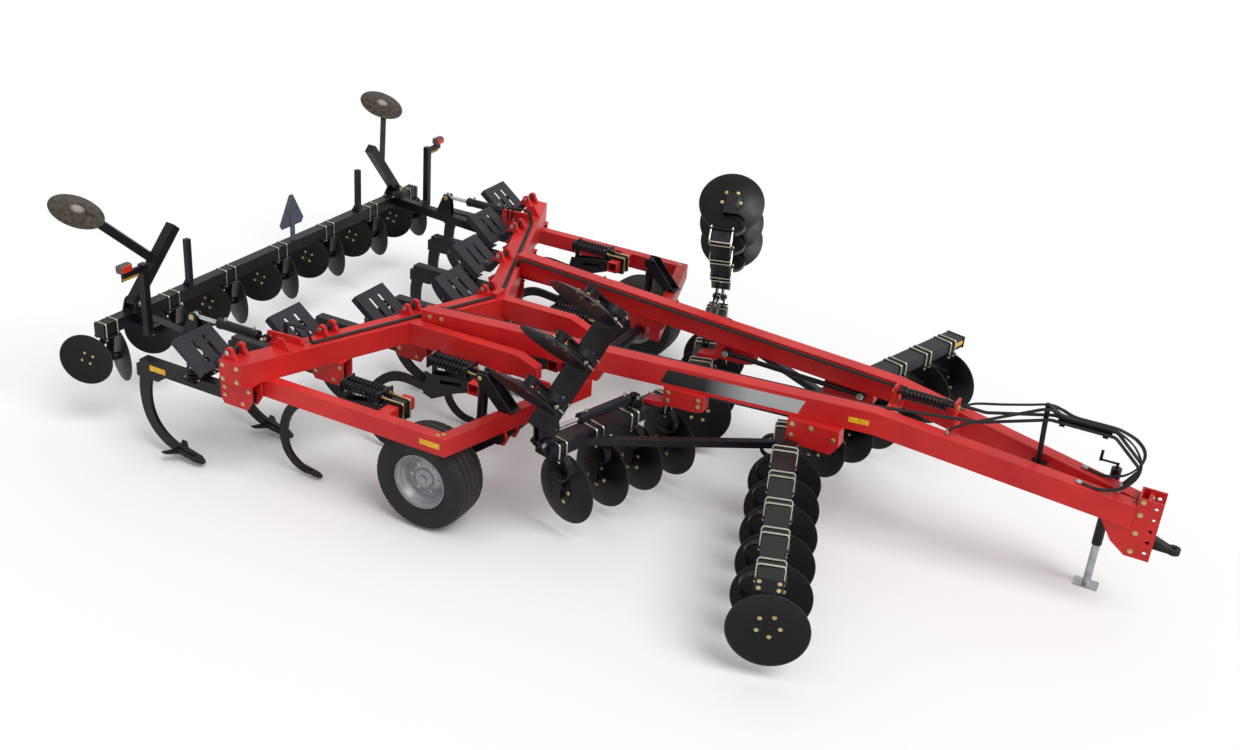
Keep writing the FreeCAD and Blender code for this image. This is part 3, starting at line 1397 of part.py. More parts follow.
def leveler_blade_normal(side):
    """From a blade's centre back to its hub, towards the middle of the pair."""
    turn = math.radians(LEVELER_TOE)
    return vec(-math.sin(turn), -side * math.cos(turn), 0)


def leveler_hanger(y, side):
    """A bent flat bar from the leveler's bar down to a blade's hub."""
    x, blade_y = leveler_blade_place(y, side)
    centre = vec(x, blade_y, LEVELER_AXIS_Z)
    inward = leveler_blade_normal(side)
    end = centre + inward * 60
    profile = [
        (LEVELER_BAR_X - 42, LEVELER_BAR_BOTTOM),
        (LEVELER_BAR_X + 42, LEVELER_BAR_BOTTOM),
        (LEVELER_BAR_X + 30, LEVELER_BAR_BOTTOM - 60),
        (end.x + 34, LEVELER_AXIS_Z + 10),
        (end.x + 20, LEVELER_AXIS_Z - 34),
        (end.x - 20, LEVELER_AXIS_Z - 34),
        (end.x - 34, LEVELER_AXIS_Z + 10),
        (LEVELER_BAR_X - 50, LEVELER_BAR_BOTTOM - 60),
    ]
    plate = side_plate(profile, end.y - 8, 16)
    hub = rod(end, centre + inward * 0.3, 34)
    return plate.fuse(hub)


def leveler_hangers():
    return [leveler_hanger(y, -1).fuse([leveler_hanger(y, 1), hanger_seat(y)]).removeSplitter()
            for y in leveler_stations()]


def hanger_seat(y):
    """The clamp plate under the bar that joins a pair's two hangers."""
    return Part.makeBox(LEVELER_BAR_SIZE - 10, 160, 14, vec(LEVELER_BAR_X - LEVELER_BAR_SIZE / 2 + 5, y - 80, LEVELER_BAR_BOTTOM - 14))


def leveler_blades():
    blades = []
    for y in leveler_stations():
        for side in (-1, 1):
            x, blade_y = leveler_blade_place(y, side)
            disc = blade(LEVELER_BLADE_RADIUS, 30, 6)
            if side > 0:
                disc = disc.mirror(vec(0, 0, 0), vec(0, 1, 0))
            else:
                disc = disc.copy()
            disc.rotate(vec(0, 0, 0), vec(0, 0, 1), -side * LEVELER_TOE)
            disc.translate(vec(x, blade_y, LEVELER_AXIS_Z))
            blades.append(disc)
    return blades


WING_HUB = (-4306.0, WING_AXIS_Y + 215.0, 1950.0)


def leveler_wing():
    """The left end wing, folded up and in: its tube, the arm across it and the blade."""
    bottom = vec(WING_AXIS_X, WING_AXIS_Y, WING_AXIS_Z)
    top = vec(WING_AXIS_X + 40, WING_AXIS_Y - 486, WING_AXIS_Z + 562)
    along = top - bottom
    along.normalize()
    fork = bottom + along * 400
    hub = vec(*WING_HUB)
    tube = bar(bottom + along * 10, top, WING_TUBE, WING_TUBE, 0, vec(1, 0, 0))
    arm = bar(fork, hub + vec(40, -30, -40), 56, 76)
    eye = rod(bottom - vec(WING_TUBE / 2, 0, 0), bottom + vec(WING_TUBE / 2, 0, 0), 40)
    hole = rod(bottom - vec(80, 0, 0), bottom + vec(80, 0, 0), 16.5)
    disc = blade(LEVELER_BLADE_RADIUS, 30, 6)
    disc.rotate(vec(0, 0, 0), vec(0, 0, 1), -25)
    disc.rotate(vec(0, 0, 0), vec(1, 0, 0), 95)
    disc.translate(hub)
    axis = vec(math.sin(math.radians(25)), math.cos(math.radians(25)), 0)
    turn = FreeCAD.Rotation(vec(1, 0, 0), 95)
    axis = turn.multVec(axis)
    boss = rod(hub - axis * 70, hub + axis * 4, 42)
    return tube.fuse([arm, eye, boss]).cut(hole).fuse(disc).removeSplitter()


def lamp():
    return Part.makeBox(80, 130, 70, vec(POST_X - 40, POST_Y + 140, POST_TOP - 10))


def emblem():
    """A blank triangular sign, its corners cut, on a short stem."""
    base = LEVELER_BAR_TOP
    y = 189.0
    half = 178.0
    low = base + 150
    high = base + 470
    outline = [
        (-half, low + 46),
        (-half + 30, low),
        (half - 30, low),
        (half, low + 46),
        (26, high),
        (-26, high),
    ]
    x = LEVELER_BAR_X + 20
    sign = face_of([vec(x, y + a, z) for a, z in outline]).extrude(vec(6, 0, 0))
    stem = Part.makeBox(12, 60, 300, vec(x + 6, y - 30, base))
    return sign.fuse(stem).removeSplitter()


# tongue
def tongue_spring():
    """The hitch link's spring between the beams, on its rod and red plate."""
    z = 1320.0
    coil = rod(vec(2270, 0, z), vec(2600, 0, z), 52)
    stem = rod(vec(2180, 0, z), vec(2720, 0, z), 16)
    collars = [rod(vec(2258, 0, z), vec(2270, 0, z), 60), rod(vec(2600, 0, z), vec(2612, 0, z), 60)]
    return coil.fuse([stem] + collars).removeSplitter()


def tongue_plates():
    """Cross members between the beams, with the ears that hold the spring's rod."""
    pieces = []
    for x in (2200.0, 2690.0):
        half = beam_outer_y(x) - BEAM_WIDTH + 4
        low = beam_bottom(x) + 30
        member = Part.makeBox(60, 2 * half, 120, vec(x - 30, -half, low))
        ear = Part.makeBox(22, 130, 1380 - low - 100, vec(x - 11, -65, low + 100))
        hole = rod(vec(x - 40, 0, 1320), vec(x + 40, 0, 1320), 16.3)
        whole = member.fuse(ear).cut(hole)
        pieces.append(whole.cut(main_beam()).cut(mirrored(main_beam())).removeSplitter())
    return pieces


def hose_mast():
    """A bent round bar that carries the hoses over the tongue."""
    x = 3379.0
    start = beam_top(x) - 60
    member = Part.makeBox(120, 2 * (beam_outer_y(x + 60) - BEAM_WIDTH + 2), 16, vec(x - 60, -(beam_outer_y(x + 60) - BEAM_WIDTH + 2), start - 16))
    post = rod(vec(x, 0, start - 8), vec(x - 27, 0, 1560), 20)
    top = rod(vec(x - 27, 0, 1550), vec(x + 80, 0, 1490), 20)
    rack = Part.makeBox(400, 44, 60, vec(x + 70, -22, 1430))
    clips = [Part.makeBox(40, 150, 8, vec(x + offset, -75, 1438)) for offset in (90, 410)]
    member = member.cut(main_beam()).cut(mirrored(main_beam()))
    return member.fuse([post, top, rack] + clips).removeSplitter()


HOSE_RADIUS = 9.0
HOSE_BLOCK = 70.0              # half width of the block that the toolbar's hoses start from
HOSE_STEP = 20.0               # between hoses side by side


def hose(points, bend, radius=HOSE_RADIUS):
    """A round hose along straight runs joined by tangent arcs."""
    edges = []
    before = points[0]
    for i in range(1, len(points) - 1):
        corner = points[i]
        back = points[i - 1] - corner
        on = points[i + 1] - corner
        back.normalize()
        on.normalize()
        half = back.getAngle(on) / 2
        reach = bend / math.tan(half)
        middle = back + on
        middle.normalize()
        top = corner + middle * (bend / math.sin(half) - bend)
        edges.append(Part.LineSegment(before, corner + back * reach).toShape())
        edges.append(Part.Arc(corner + back * reach, top, corner + on * reach).toShape())
        before = corner + on * reach
    edges.append(Part.LineSegment(before, points[-1]).toShape())
    path = Part.Wire(edges)
    start = points[1] - points[0]
    ring = Part.Wire([Part.Circle(points[0], start, radius).toShape()])
    return path.makePipeShell([ring], True, True)


def toolbar_hoses():
    """Two hoses along the left arm of the toolbar to the leveler's cylinder."""
    hoses = []
    lift = TOOLBAR_TOP + HOSE_RADIUS + 0.3
    for i in range(2):
        ahead = 29 + HOSE_STEP * i
        end_y = LEVELER_ARM_Y - 142 + HOSE_STEP * i
        port_x = RAM_PIN_X + 70 + 2 * HOSE_STEP * i
        points = [
            vec(toolbar_x(HOSE_BLOCK + 5) + ahead, HOSE_BLOCK + 5, lift),
            vec(toolbar_x(end_y) + ahead, end_y, lift),
            vec(toolbar_x(end_y) + ahead - 40, end_y, lift + 120),
            vec(port_x, end_y, lift + 105),
            vec(port_x, end_y, RAM_PIN_Z - 20),
        ]
        hoses.append(hose(points, 30))
    return hoses


def tongue_hoses():
    """Two hoses along the left beam's inner face, up to the mast and over to their plugs."""
    hoses = []
    for i in range(2):
        side = 22 + HOSE_STEP * i
        near = 36 + HOSE_STEP * (1 - i)
        z = BEAM_TOP - 20

        def inner(x):
            return beam_outer_y(x) - BEAM_WIDTH - side

        points = [
            vec(BEAM_REAR_X + 23, inner(BEAM_REAR_X + 23), TOOLBAR_TOP + 0.3),
            vec(BEAM_REAR_X + 23, inner(BEAM_REAR_X + 23), z),
            vec(BEAM_BEND_X - 60, inner(BEAM_BEND_X - 60), z),
            vec(2900, 50 + near, 1300),
            vec(3400, near, 1455.4),
            vec(3880, near, 1455.4),
            vec(4120, near, 1240),
            vec(4010, near, 1060),
        ]
        hoses.append(hose(points, 60))
    return hoses


def beam_pair():
    left = main_beam().cut(toolbar())
    solids = both_sides([left])
    return solids


def toolbar_assembly():
    pieces = [toolbar()]
    for y in shank_stations():
        pieces.append(top_lug(y, 1))
        pieces.append(top_lug(y, -1))
        pieces.append(shank_bracket(y))
    gusset_y = TOOLBAR_END_Y - 424
    x = toolbar_x(gusset_y)
    profile = [
        (x - 95, TOOLBAR_TOP),
        (x + 95, TOOLBAR_TOP),
        (x + 20, TOOLBAR_TOP + 100),
        (x - 40, TOOLBAR_TOP + 100),
    ]
    gusset = side_plate(profile, gusset_y - 9, 18)
    pieces += both_sides([gusset])
    pieces.append(Part.makeBox(66, 2 * HOSE_BLOCK, 44, vec(APEX_X - 22, -HOSE_BLOCK, TOOLBAR_TOP)))
    return pieces[0].fuse(pieces[1:]).removeSplitter()


def main():
    os.makedirs("parts", exist_ok=True)
    save("rear_toolbar", [toolbar_assembly()])
    save("main_beams", beam_pair() + tongue_plates())
    save("side_rails", both_sides([rail_with_tube()]))
    save("cross_tubes", both_sides([cross_with_hangers()]))
    save("inner_rails", inner_rail_set())
    save("gang_hangers", both_sides([front_hanger(), rear_hanger()]))
    save("stabilizer_links", both_sides(stabilizers()))
    save("shank_arms", [shank_arm(y) for y in shank_stations()])
    save("ripper_shanks", [ripper_shank(y) for y in shank_stations()])
    save("shank_covers", [shank_cover(y) for y in shank_stations()])
    save("shank_springs", [shank_springs(y) for y in shank_stations()])
    places = chisel_places()
    save("chisel_arms", both_sides([chisel_arm(x, y) for x, y in places]))
    save("chisel_springs", both_sides([chisel_spring(x, y) for x, y in places]))
    save("chisel_shanks", both_sides([chisel_shank(x, y) for x, y in places]))
    save("front_gangs", both_sides(front_gang()))
    save("rear_gangs", both_sides(rear_gang()))
    for side in ("left", "right"):
        flip = mirrored if side == "right" else (lambda shape: shape)
        save("front_discs_" + side, [flip(s) for s in front_blades()])
        save("rear_discs_" + side, [flip(s) for s in rear_blades()])
        save("wing_" + side, [flip(s) for s in wing()])
        save("wing_discs_" + side, [flip(s) for s in wing_blades()])
        save("fold_rod_" + side, [flip(fold_rod())])
        save("wheel_" + side, [flip(wheel())])
        save("leveler_wing_" + side, [flip(leveler_wing())])
    save("fold_barrels", both_sides([fold_barrel()]))
    save("lift_shaft", [lift_shaft()])
    save("lift_anchors", both_sides([lift_anchor()]))
    save("lift_barrels", both_sides([lift_barrel()]))
    save("lift_rods", both_sides([lift_rod()]))
    save("leveler_brackets", both_sides([leveler_bracket()]))
    save("leveler_arms", both_sides([leveler_arm()]))
    save("leveler_barrels", both_sides([ram_barrel()]))
    save("leveler_rods", both_sides([ram_rod()]))
    save("leveler_bar", [leveler_bar()])
    save("leveler_hangers", leveler_hangers())
    save("leveler_discs", leveler_blades())
    save("rear_lamps", both_sides([lamp()]))
    save("emblem", [emblem()])
    save("tongue_spring", [tongue_spring()])
    save("hose_mast", [hose_mast()])
    save("toolbar_hoses", both_sides(toolbar_hoses()))
    save("tongue_hoses", both_sides(tongue_hoses()))
    save("hitch_head", [hitch_head()])
    save("hitch_eye", [hitch_eye()])
    save("jack_sleeve", [jack_sleeve()])
    save("jack_leg", [jack_leg()])


main()
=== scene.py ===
import bpy
import bmesh
import json
import math
import numpy as np
from mathutils import Matrix, Vector


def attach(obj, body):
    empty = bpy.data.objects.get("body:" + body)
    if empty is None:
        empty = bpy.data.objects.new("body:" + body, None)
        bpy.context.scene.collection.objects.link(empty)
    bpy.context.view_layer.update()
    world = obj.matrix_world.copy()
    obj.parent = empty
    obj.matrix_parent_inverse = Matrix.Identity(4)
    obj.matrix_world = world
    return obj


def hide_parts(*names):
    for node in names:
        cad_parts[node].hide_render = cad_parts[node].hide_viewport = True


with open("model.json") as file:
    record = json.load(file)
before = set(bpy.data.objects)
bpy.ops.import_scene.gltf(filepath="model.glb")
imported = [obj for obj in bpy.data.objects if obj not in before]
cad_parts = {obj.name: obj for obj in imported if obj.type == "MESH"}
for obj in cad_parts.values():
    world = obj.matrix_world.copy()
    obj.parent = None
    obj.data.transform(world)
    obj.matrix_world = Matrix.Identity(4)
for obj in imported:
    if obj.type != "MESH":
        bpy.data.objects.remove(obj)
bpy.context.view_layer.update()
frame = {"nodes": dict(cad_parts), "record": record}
nodes = frame["nodes"]
print("frame loaded:", len(nodes), "nodes")


# camera: the place and turn that show the machine from its front right, from above
cameraSet = {
    "place": (4.399, -9.871, 6.164),
    "yaw": -25.11,
    "pitch": 26.44,
    "roll": -4.80,
    "lens": 40.21,
}


def makeCamera(s):
    yaw, pitch, roll = (math.radians(s[k]) for k in ("yaw", "pitch", "roll"))
    ahead = Vector((math.sin(yaw) * math.cos(pitch), math.cos(yaw) * math.cos(pitch), -math.sin(pitch)))
    right = Vector((math.cos(yaw), -math.sin(yaw), 0))
    down = ahead.cross(right)
    across = math.cos(roll) * right + math.sin(roll) * down
    below = -math.sin(roll) * right + math.cos(roll) * down
    data = bpy.data.cameras.new("camera")
    data.lens = s["lens"]
    data.sensor_width = 36
    data.clip_end = 200
    camera = bpy.data.objects.new("camera", data)
    turn = Matrix((across, -below, -ahead)).transposed().to_4x4()
    camera.matrix_world = Matrix.Translation(Vector(s["place"])) @ turn
    bpy.context.scene.collection.objects.link(camera)
    bpy.context.scene.camera = camera


makeCamera(cameraSet)
bpy.context.scene.view_settings.view_transform = "Standard"
print("camera set")


# node helpers
def linear(hexColour):
    # sRGB to linear, channel by channel
    raw = [int(hexColour[i:i + 2], 16) / 255 for i in (1, 3, 5)]
    return [c / 12.92 if c <= 0.04045 else ((c + 0.055) / 1.055) ** 2.4 for c in raw] + [1.0]


def addNode(tree, kind, settings=None, links=None, output=0, stops=()):
    # settings are the node's own properties or its inputs' values, with a hex colour turned to linear;
    # links are other nodes' outputs; stops are (position, colour) pairs of a ramp; gives one output
    node = tree.nodes.new("ShaderNode" + kind)
    for key, value in (settings or {}).items():
        if isinstance(key, str) and hasattr(node, key):
            setattr(node, key, value)
        else:
            node.inputs[key].default_value = linear(value) if isinstance(value, str) else value
    for key, source in (links or {}).items():
        tree.links.new(source, node.inputs[key])
    for k, (position, colour) in enumerate(stops):
        node.color_ramp.elements[k].position = position
        node.color_ramp.elements[k].color = linear(colour)
    return node.outputs[output]


def startMaterial(name, metallic=0.0):
    material = bpy.data.materials.new(name)
    material.use_nodes = True
    tree = material.node_tree
    shader = tree.nodes["Principled BSDF"]
    shader.inputs["Metallic"].default_value = metallic
    return material, tree, shader, addNode(tree, "TexCoord", output="Object")


def endMaterial(tree, shader, colour, normal, cloud, least, most):
    # the gloss drifts: roughness goes from least to most while the cloud goes from 0.3 to 0.7
    limits = {"From Min": 0.3, "From Max": 0.7, "To Min": least, "To Max": most}
    rough = addNode(tree, "MapRange", limits, {"Value": cloud})
    for key, source in (("Base Color", colour), ("Normal", normal), ("Roughness", rough)):
        tree.links.new(source, shader.inputs[key])


def edgeMask(tree, radius):
    # softened edges: a rounded normal, and a mask that is 1 where it leaves the flat face
    rounded = addNode(tree, "Bevel", {"samples": 4, "Radius": radius})
    flat = addNode(tree, "NewGeometry", output="Normal")
    match = addNode(tree, "VectorMath", {"operation": "DOT_PRODUCT"}, {0: rounded, 1: flat}, "Value")
    limits = {"From Min": 0.9, "From Max": 0.995, "To Min": 1.0, "To Max": 0.0}
    return rounded, addNode(tree, "MapRange", limits, {"Value": match})


# painted steel: gun-sprayed two-pack enamel over welded plate and tube. The gun leaves slow drifts in
# shade, the film a fine orange peel (3 mm cells), and the edges carry a painted highlight: the paler "edge"
# colour, more of it in patches.
paintSet = {
    "redMachineEnamel": {"dark": "#c51d1e", "light": "#da2d29", "edge": "#e4554c", "rough": 0.34,
                         "peel": 0.10},
    "blackChassisEnamel": {"dark": "#0a0a10", "light": "#13121c", "edge": "#383746", "rough": 0.33,
                           "peel": 0.10},
    "graphiteCoverPaint": {"dark": "#25242c", "light": "#302e38", "edge": "#4c4b57", "rough": 0.42,
                           "peel": 0.12},
    "blackDrawbarForging": {"dark": "#141316", "light": "#201f23", "edge": "#4c4c52", "rough": 0.45,
                            "peel": 0.35},
    "blackEndWingEnamel": {"dark": "#0a0a10", "light": "#13121c", "edge": "#383746", "rough": 0.33,
                           "peel": 0.10},
}
# what the paints share: scales are per metre, dust is a thin veil on faces that look up, and the two edge
# shares bound the painted highlight on edges
coatSet = {
    "drift": 1.6, "patches": 18.0, "edgeRadius": 0.0035, "leastEdgeHighlight": 0.15, "mostEdgeHighlight": 0.7,
    "dust": "#a89c88", "mostDust": 0.05, "peelScale": 330.0, "peelDepth": 0.0006, "shine": 0.36,
}


def makePaint(name, extra=None):
    s, c = paintSet[name], coatSet
    material, tree, shader, place = startMaterial(name)
    drift = addNode(tree, "TexNoise", {"Scale": c["drift"], "Detail": 4.0}, {"Vector": place})
    patchy = addNode(tree, "TexNoise", {"Scale": c["patches"], "Detail": 3.0}, {"Vector": place})
    peel = addNode(tree, "TexNoise", {"Scale": c["peelScale"], "Detail": 1.0}, {"Vector": place})
    colour = addNode(tree, "ValToRGB", None, {"Fac": drift}, stops=[(0.35, s["dark"]), (0.65, s["light"])])
    rounded, edges = edgeMask(tree, c["edgeRadius"])
    # painted highlight on the edges: the paler edge colour, its share rising from least to most as the
    # patches rise
    limits = {"From Min": 0.4, "From Max": 0.65, "To Min": c["leastEdgeHighlight"], "To Max": c["mostEdgeHighlight"]}
    edgeHighlight = addNode(tree, "MapRange", limits, {"Value": patchy})
    edgeHighlight = addNode(tree, "Math", {"operation": "MULTIPLY"}, {0: edges, 1: edgeHighlight})
    colour = addNode(tree, "Mix", {"data_type": "RGBA", 7: s["edge"]}, {0: edgeHighlight, 6: colour}, 2)
    upward = addNode(tree, "SeparateXYZ", None, {0: addNode(tree, "NewGeometry", output="Normal")}, "Z")
    dusty = addNode(tree, "MapRange", {"From Min": 0.5, "To Max": c["mostDust"]}, {"Value": upward})
    dusty = addNode(tree, "Math", {"operation": "MULTIPLY"}, {0: dusty, 1: patchy})
    colour = addNode(tree, "Mix", {"data_type": "RGBA", 7: c["dust"]}, {0: dusty, 6: colour}, 2)
    if extra:
        colour = extra(tree, place, colour)
    relief = {"Strength": s["peel"], "Distance": c["peelDepth"]}
    normal = addNode(tree, "Bump", relief, {"Height": peel, "Normal": rounded})
    endMaterial(tree, shader, colour, normal, patchy, s["rough"] - 0.05, s["rough"] + 0.08)
    shader.inputs["Specular IOR Level"].default_value = c["shine"]
    return material


# rolled spring steel discs in black lacquer: rolling leaves rings 5 to 6 mm apart, soil has rubbed the
# rim to a thin grey line, and the lacquer is cloudy, a little paler and duller in patches
lacquerSet = {
    "dark": "#07070a", "light": "#0f0f14", "patches": 9.0, "rough": (0.28, 0.44), "shine": 0.3,
    "rim": "#3c3b3d", "rimFrom": 0.965, "rimFull": 0.985, "rimPale": 0.75,
    "rings": 314.0, "ringRelief": 0.12, "ringDepth": 0.0005,
}


def makeDiscLacquer(s):
    material, tree, shader, place = startMaterial("blackDiscLacquer")
    radial = addNode(tree, "Attribute", {"attribute_name": "radial"}, output="Fac")
    patchy = addNode(tree, "TexNoise", {"Scale": s["patches"], "Detail": 5.0}, {"Vector": place})
    colour = addNode(tree, "ValToRGB", None, {"Fac": patchy}, stops=[(0.35, s["dark"]), (0.7, s["light"])])
    limits = {"From Min": s["rimFrom"], "From Max": s["rimFull"], "To Max": s["rimPale"]}
    rim = addNode(tree, "MapRange", limits, {"Value": radial})
    colour = addNode(tree, "Mix", {"data_type": "RGBA", 7: s["rim"]}, {0: rim, 6: colour}, 2)
    phase = addNode(tree, "Math", {"operation": "MULTIPLY", 1: s["rings"]}, {0: radial})
    rings = addNode(tree, "Math", {"operation": "SINE"}, {0: phase})
    relief = {"Strength": s["ringRelief"], "Distance": s["ringDepth"]}
    endMaterial(tree, shader, colour, addNode(tree, "Bump", relief, {"Height": rings}), patchy, *s["rough"])
    shader.inputs["Specular IOR Level"].default_value = s["shine"]
    return material


# carbon-black tyre rubber: moulded, so dull and faintly grained, greyed with dust on the ribs
rubberSet = {
    "dark": "#151517", "light": "#1f1f20", "patches": 7.0, "rough": (0.6, 0.8),
    "dust": "#57554f", "dustFrom": 0.955, "mostDust": 0.6,
    "grain": 260.0, "grainRelief": 0.3, "grainDepth": 0.001,
}


def makeTyreRubber(s):
    material, tree, shader, place = startMaterial("mouldedTyreRubber")
    radial = addNode(tree, "Attribute", {"attribute_name": "radial"}, output="Fac")
    grain = addNode(tree, "TexNoise", {"Scale": s["grain"], "Detail": 2.0}, {"Vector": place})
    patchy = addNode(tree, "TexNoise", {"Scale": s["patches"], "Detail": 4.0}, {"Vector": place})
    colour = addNode(tree, "ValToRGB", None, {"Fac": patchy}, stops=[(0.3, s["dark"]), (0.7, s["light"])])
    tread = addNode(tree, "MapRange", {"From Min": s["dustFrom"], "To Max": s["mostDust"]}, {"Value": radial})
    tread = addNode(tree, "Math", {"operation": "MULTIPLY"}, {0: tread, 1: patchy})
    colour = addNode(tree, "Mix", {"data_type": "RGBA", 7: s["dust"]}, {0: tread, 6: colour}, 2)
    relief = {"Strength": s["grainRelief"], "Distance": s["grainDepth"]}
    endMaterial(tree, shader, colour, addNode(tree, "Bump", relief, {"Height": grain}), patchy, *s["rough"])
    return material


# plated metals: zinc and chrome show the drawn or turned steel beneath them as fine drifts in gloss;
# the wheels' sprayed silver carries metal flake, so it mirrors only about half as much
metalSet = {
    "yellowZincPlate": {"dark": "#cdb978", "light": "#e8dcae", "metal": 1.0, "rough": 0.34, "grain": 140.0,
                        "relief": 0.15},
    "paleZincWire": {"dark": "#cbccb6", "light": "#e8e9d8", "metal": 0.9, "rough": 0.3, "grain": 140.0,
                     "relief": 0.12},
    "clearZincPlate": {"dark": "#aeb3b6", "light": "#d2d6d8", "metal": 1.0, "rough": 0.36, "grain": 90.0,
                       "relief": 0.2},
    "hardChromeRod": {"dark": "#d0d2d4", "light": "#e2e4e6", "metal": 1.0, "rough": 0.1, "grain": 400.0,
                      "relief": 0.04},
    "silverWheelPaint": {"dark": "#9da0a3", "light": "#b4b7ba", "metal": 0.55, "rough": 0.4, "grain": 330.0,
                         "relief": 0.1},
}


def makeMetal(name):
    s = metalSet[name]
    material, tree, shader, place = startMaterial(name, s["metal"])
    drift = addNode(tree, "TexNoise", {"Scale": 14.0, "Detail": 4.0}, {"Vector": place})
    fine = addNode(tree, "TexNoise", {"Scale": s["grain"], "Detail": 2.0}, {"Vector": place})
    colour = addNode(tree, "ValToRGB", None, {"Fac": drift}, stops=[(0.3, s["dark"]), (0.7, s["light"])])
    normal = addNode(tree, "Bump", {"Strength": s["relief"], "Distance": 0.0005}, {"Height": fine})
    endMaterial(tree, shader, colour, normal, drift, s["rough"] - 0.04, s["rough"] + 0.08)
    return material


# plastics and rubber, their surface a fine relief of cells: a moulded acrylic lens with 4 mm prisms,
# prismatic film on a flat face, a grained lamp housing, plain sign sheet and a hose's ribbed cover
plasticSet = {
    "redLampLens": {"dark": "#c22a12", "light": "#e0401c", "rough": 0.16, "cell": 250.0, "relief": 0.5},
    "yellowReflectorFilm": {"dark": "#e8a80c", "light": "#f6c52a", "rough": 0.28, "cell": 300.0,
                            "relief": 0.2},
    "greyLampBody": {"dark": "#4d5055", "light": "#5c6066", "rough": 0.5, "cell": 500.0, "relief": 0.15},
    "greySignSheet": {"dark": "#4b5060", "light": "#5a5f70", "rough": 0.5, "cell": 350.0, "relief": 0.1},
    "blackHoseRubber": {"dark": "#101011", "light": "#1b1b1d", "rough": 0.45, "cell": 420.0, "relief": 0.35},
}


def makePlastic(name):
    s = plasticSet[name]
    material, tree, shader, place = startMaterial(name)
    cells = addNode(tree, "TexVoronoi", {"Scale": s["cell"]}, {"Vector": place})
    drift = addNode(tree, "TexNoise", {"Scale": 22.0, "Detail": 3.0}, {"Vector": place})
    colour = addNode(tree, "ValToRGB", None, {"Fac": drift}, stops=[(0.35, s["dark"]), (0.65, s["light"])])
    normal = addNode(tree, "Bump", {"Strength": s["relief"], "Distance": 0.0006}, {"Height": cells})
    endMaterial(tree, shader, colour, normal, drift, s["rough"] - 0.03, s["rough"] + 0.06)
    return material


# a printed vinyl band on each beam: black at the rear, fading to silver with a fine dot screen
bandSet = {
    "from": 0.42, "to": 1.56, "low": 1.116, "high": 1.238, "slant": 0.05, "dots": 260.0,
    "fadeFrom": 0.78, "fadeTo": 1.21, "black": "#131314", "silver": "#b9bbbd", "rough": 0.3,
}


def makeBandVinyl(s):
    material, tree, shader, place = startMaterial("fadedVinylBand")
    along = addNode(tree, "SeparateXYZ", None, {0: place}, "X")
    dots = addNode(tree, "TexVoronoi", {"Scale": s["dots"]}, {"Vector": place})
    fade = addNode(tree, "MapRange", {"From Min": s["fadeFrom"], "From Max": s["fadeTo"]}, {"Value": along})
    screen = addNode(tree, "MapRange", {"To Min": -0.05, "To Max": 0.05}, {"Value": dots})
    mixed = addNode(tree, "Math", {"operation": "ADD"}, {0: fade, 1: screen})
    colour = addNode(tree, "ValToRGB", None, {"Fac": mixed}, stops=[(0.02, s["black"]), (0.9, s["silver"])])
    tree.links.new(colour, shader.inputs["Base Color"])
    shader.inputs["Roughness"].default_value = s["rough"]
    return material


# the end blades of the leveler are the only ones worn through: bare browned steel, with a paler
# hub. The mask is the distance from a hub at (-4.306, +-2.120, 1.950), kept to the blade's own plane.
wornBladeSet = {
    "hub": (-4.306, 2.120, 1.950), "normal": (0.4226, -0.079, 0.9029), "reach": 0.236, "depth": 0.036,
    "dark": "#241f1b", "brown": "#54493a", "clouds": 30.0, "hubColour": "#a8a294", "hubReach": 0.035,
    "hubFade": 0.065, "hubPale": 0.85,
}


def wornBlade(tree, place, colour):
    s = wornBladeSet
    folded = addNode(tree, "VectorMath", {"operation": "ABSOLUTE"}, {0: place})
    oneSide = addNode(tree, "VectorMath", {"operation": "MULTIPLY", 1: (-1, 1, 1)}, {0: folded})
    offset = addNode(tree, "VectorMath", {"operation": "SUBTRACT", 1: s["hub"]}, {0: oneSide})
    far = addNode(tree, "VectorMath", {"operation": "LENGTH"}, {0: offset}, "Value")
    high = addNode(tree, "VectorMath", {"operation": "DOT_PRODUCT", 1: s["normal"]}, {0: offset}, "Value")
    height = addNode(tree, "Math", {"operation": "ABSOLUTE"}, {0: high})
    limits = {"From Min": s["depth"], "From Max": s["depth"] + 0.004, "To Min": 1.0, "To Max": 0.0}
    inPlane = addNode(tree, "MapRange", limits, {"Value": height})
    limits = {"From Min": s["reach"], "From Max": s["reach"] + 0.003, "To Min": 1.0, "To Max": 0.0}
    inReach = addNode(tree, "MapRange", limits, {"Value": far})
    mask = addNode(tree, "Math", {"operation": "MULTIPLY"}, {0: inPlane, 1: inReach})
    cloud = addNode(tree, "TexNoise", {"Scale": s["clouds"], "Detail": 7.0}, {"Vector": place})
    rust = addNode(tree, "ValToRGB", None, {"Fac": cloud}, stops=[(0.35, s["dark"]), (0.68, s["brown"])])
    limits = {"From Min": s["hubReach"], "From Max": s["hubFade"], "To Min": s["hubPale"], "To Max": 0.0}
    pale = addNode(tree, "MapRange", limits, {"Value": far})
    rust = addNode(tree, "Mix", {"data_type": "RGBA", 7: s["hubColour"]}, {0: pale, 6: rust}, 2)
    return addNode(tree, "Mix", {"data_type": "RGBA"}, {0: mask, 6: colour, 7: rust}, 2)


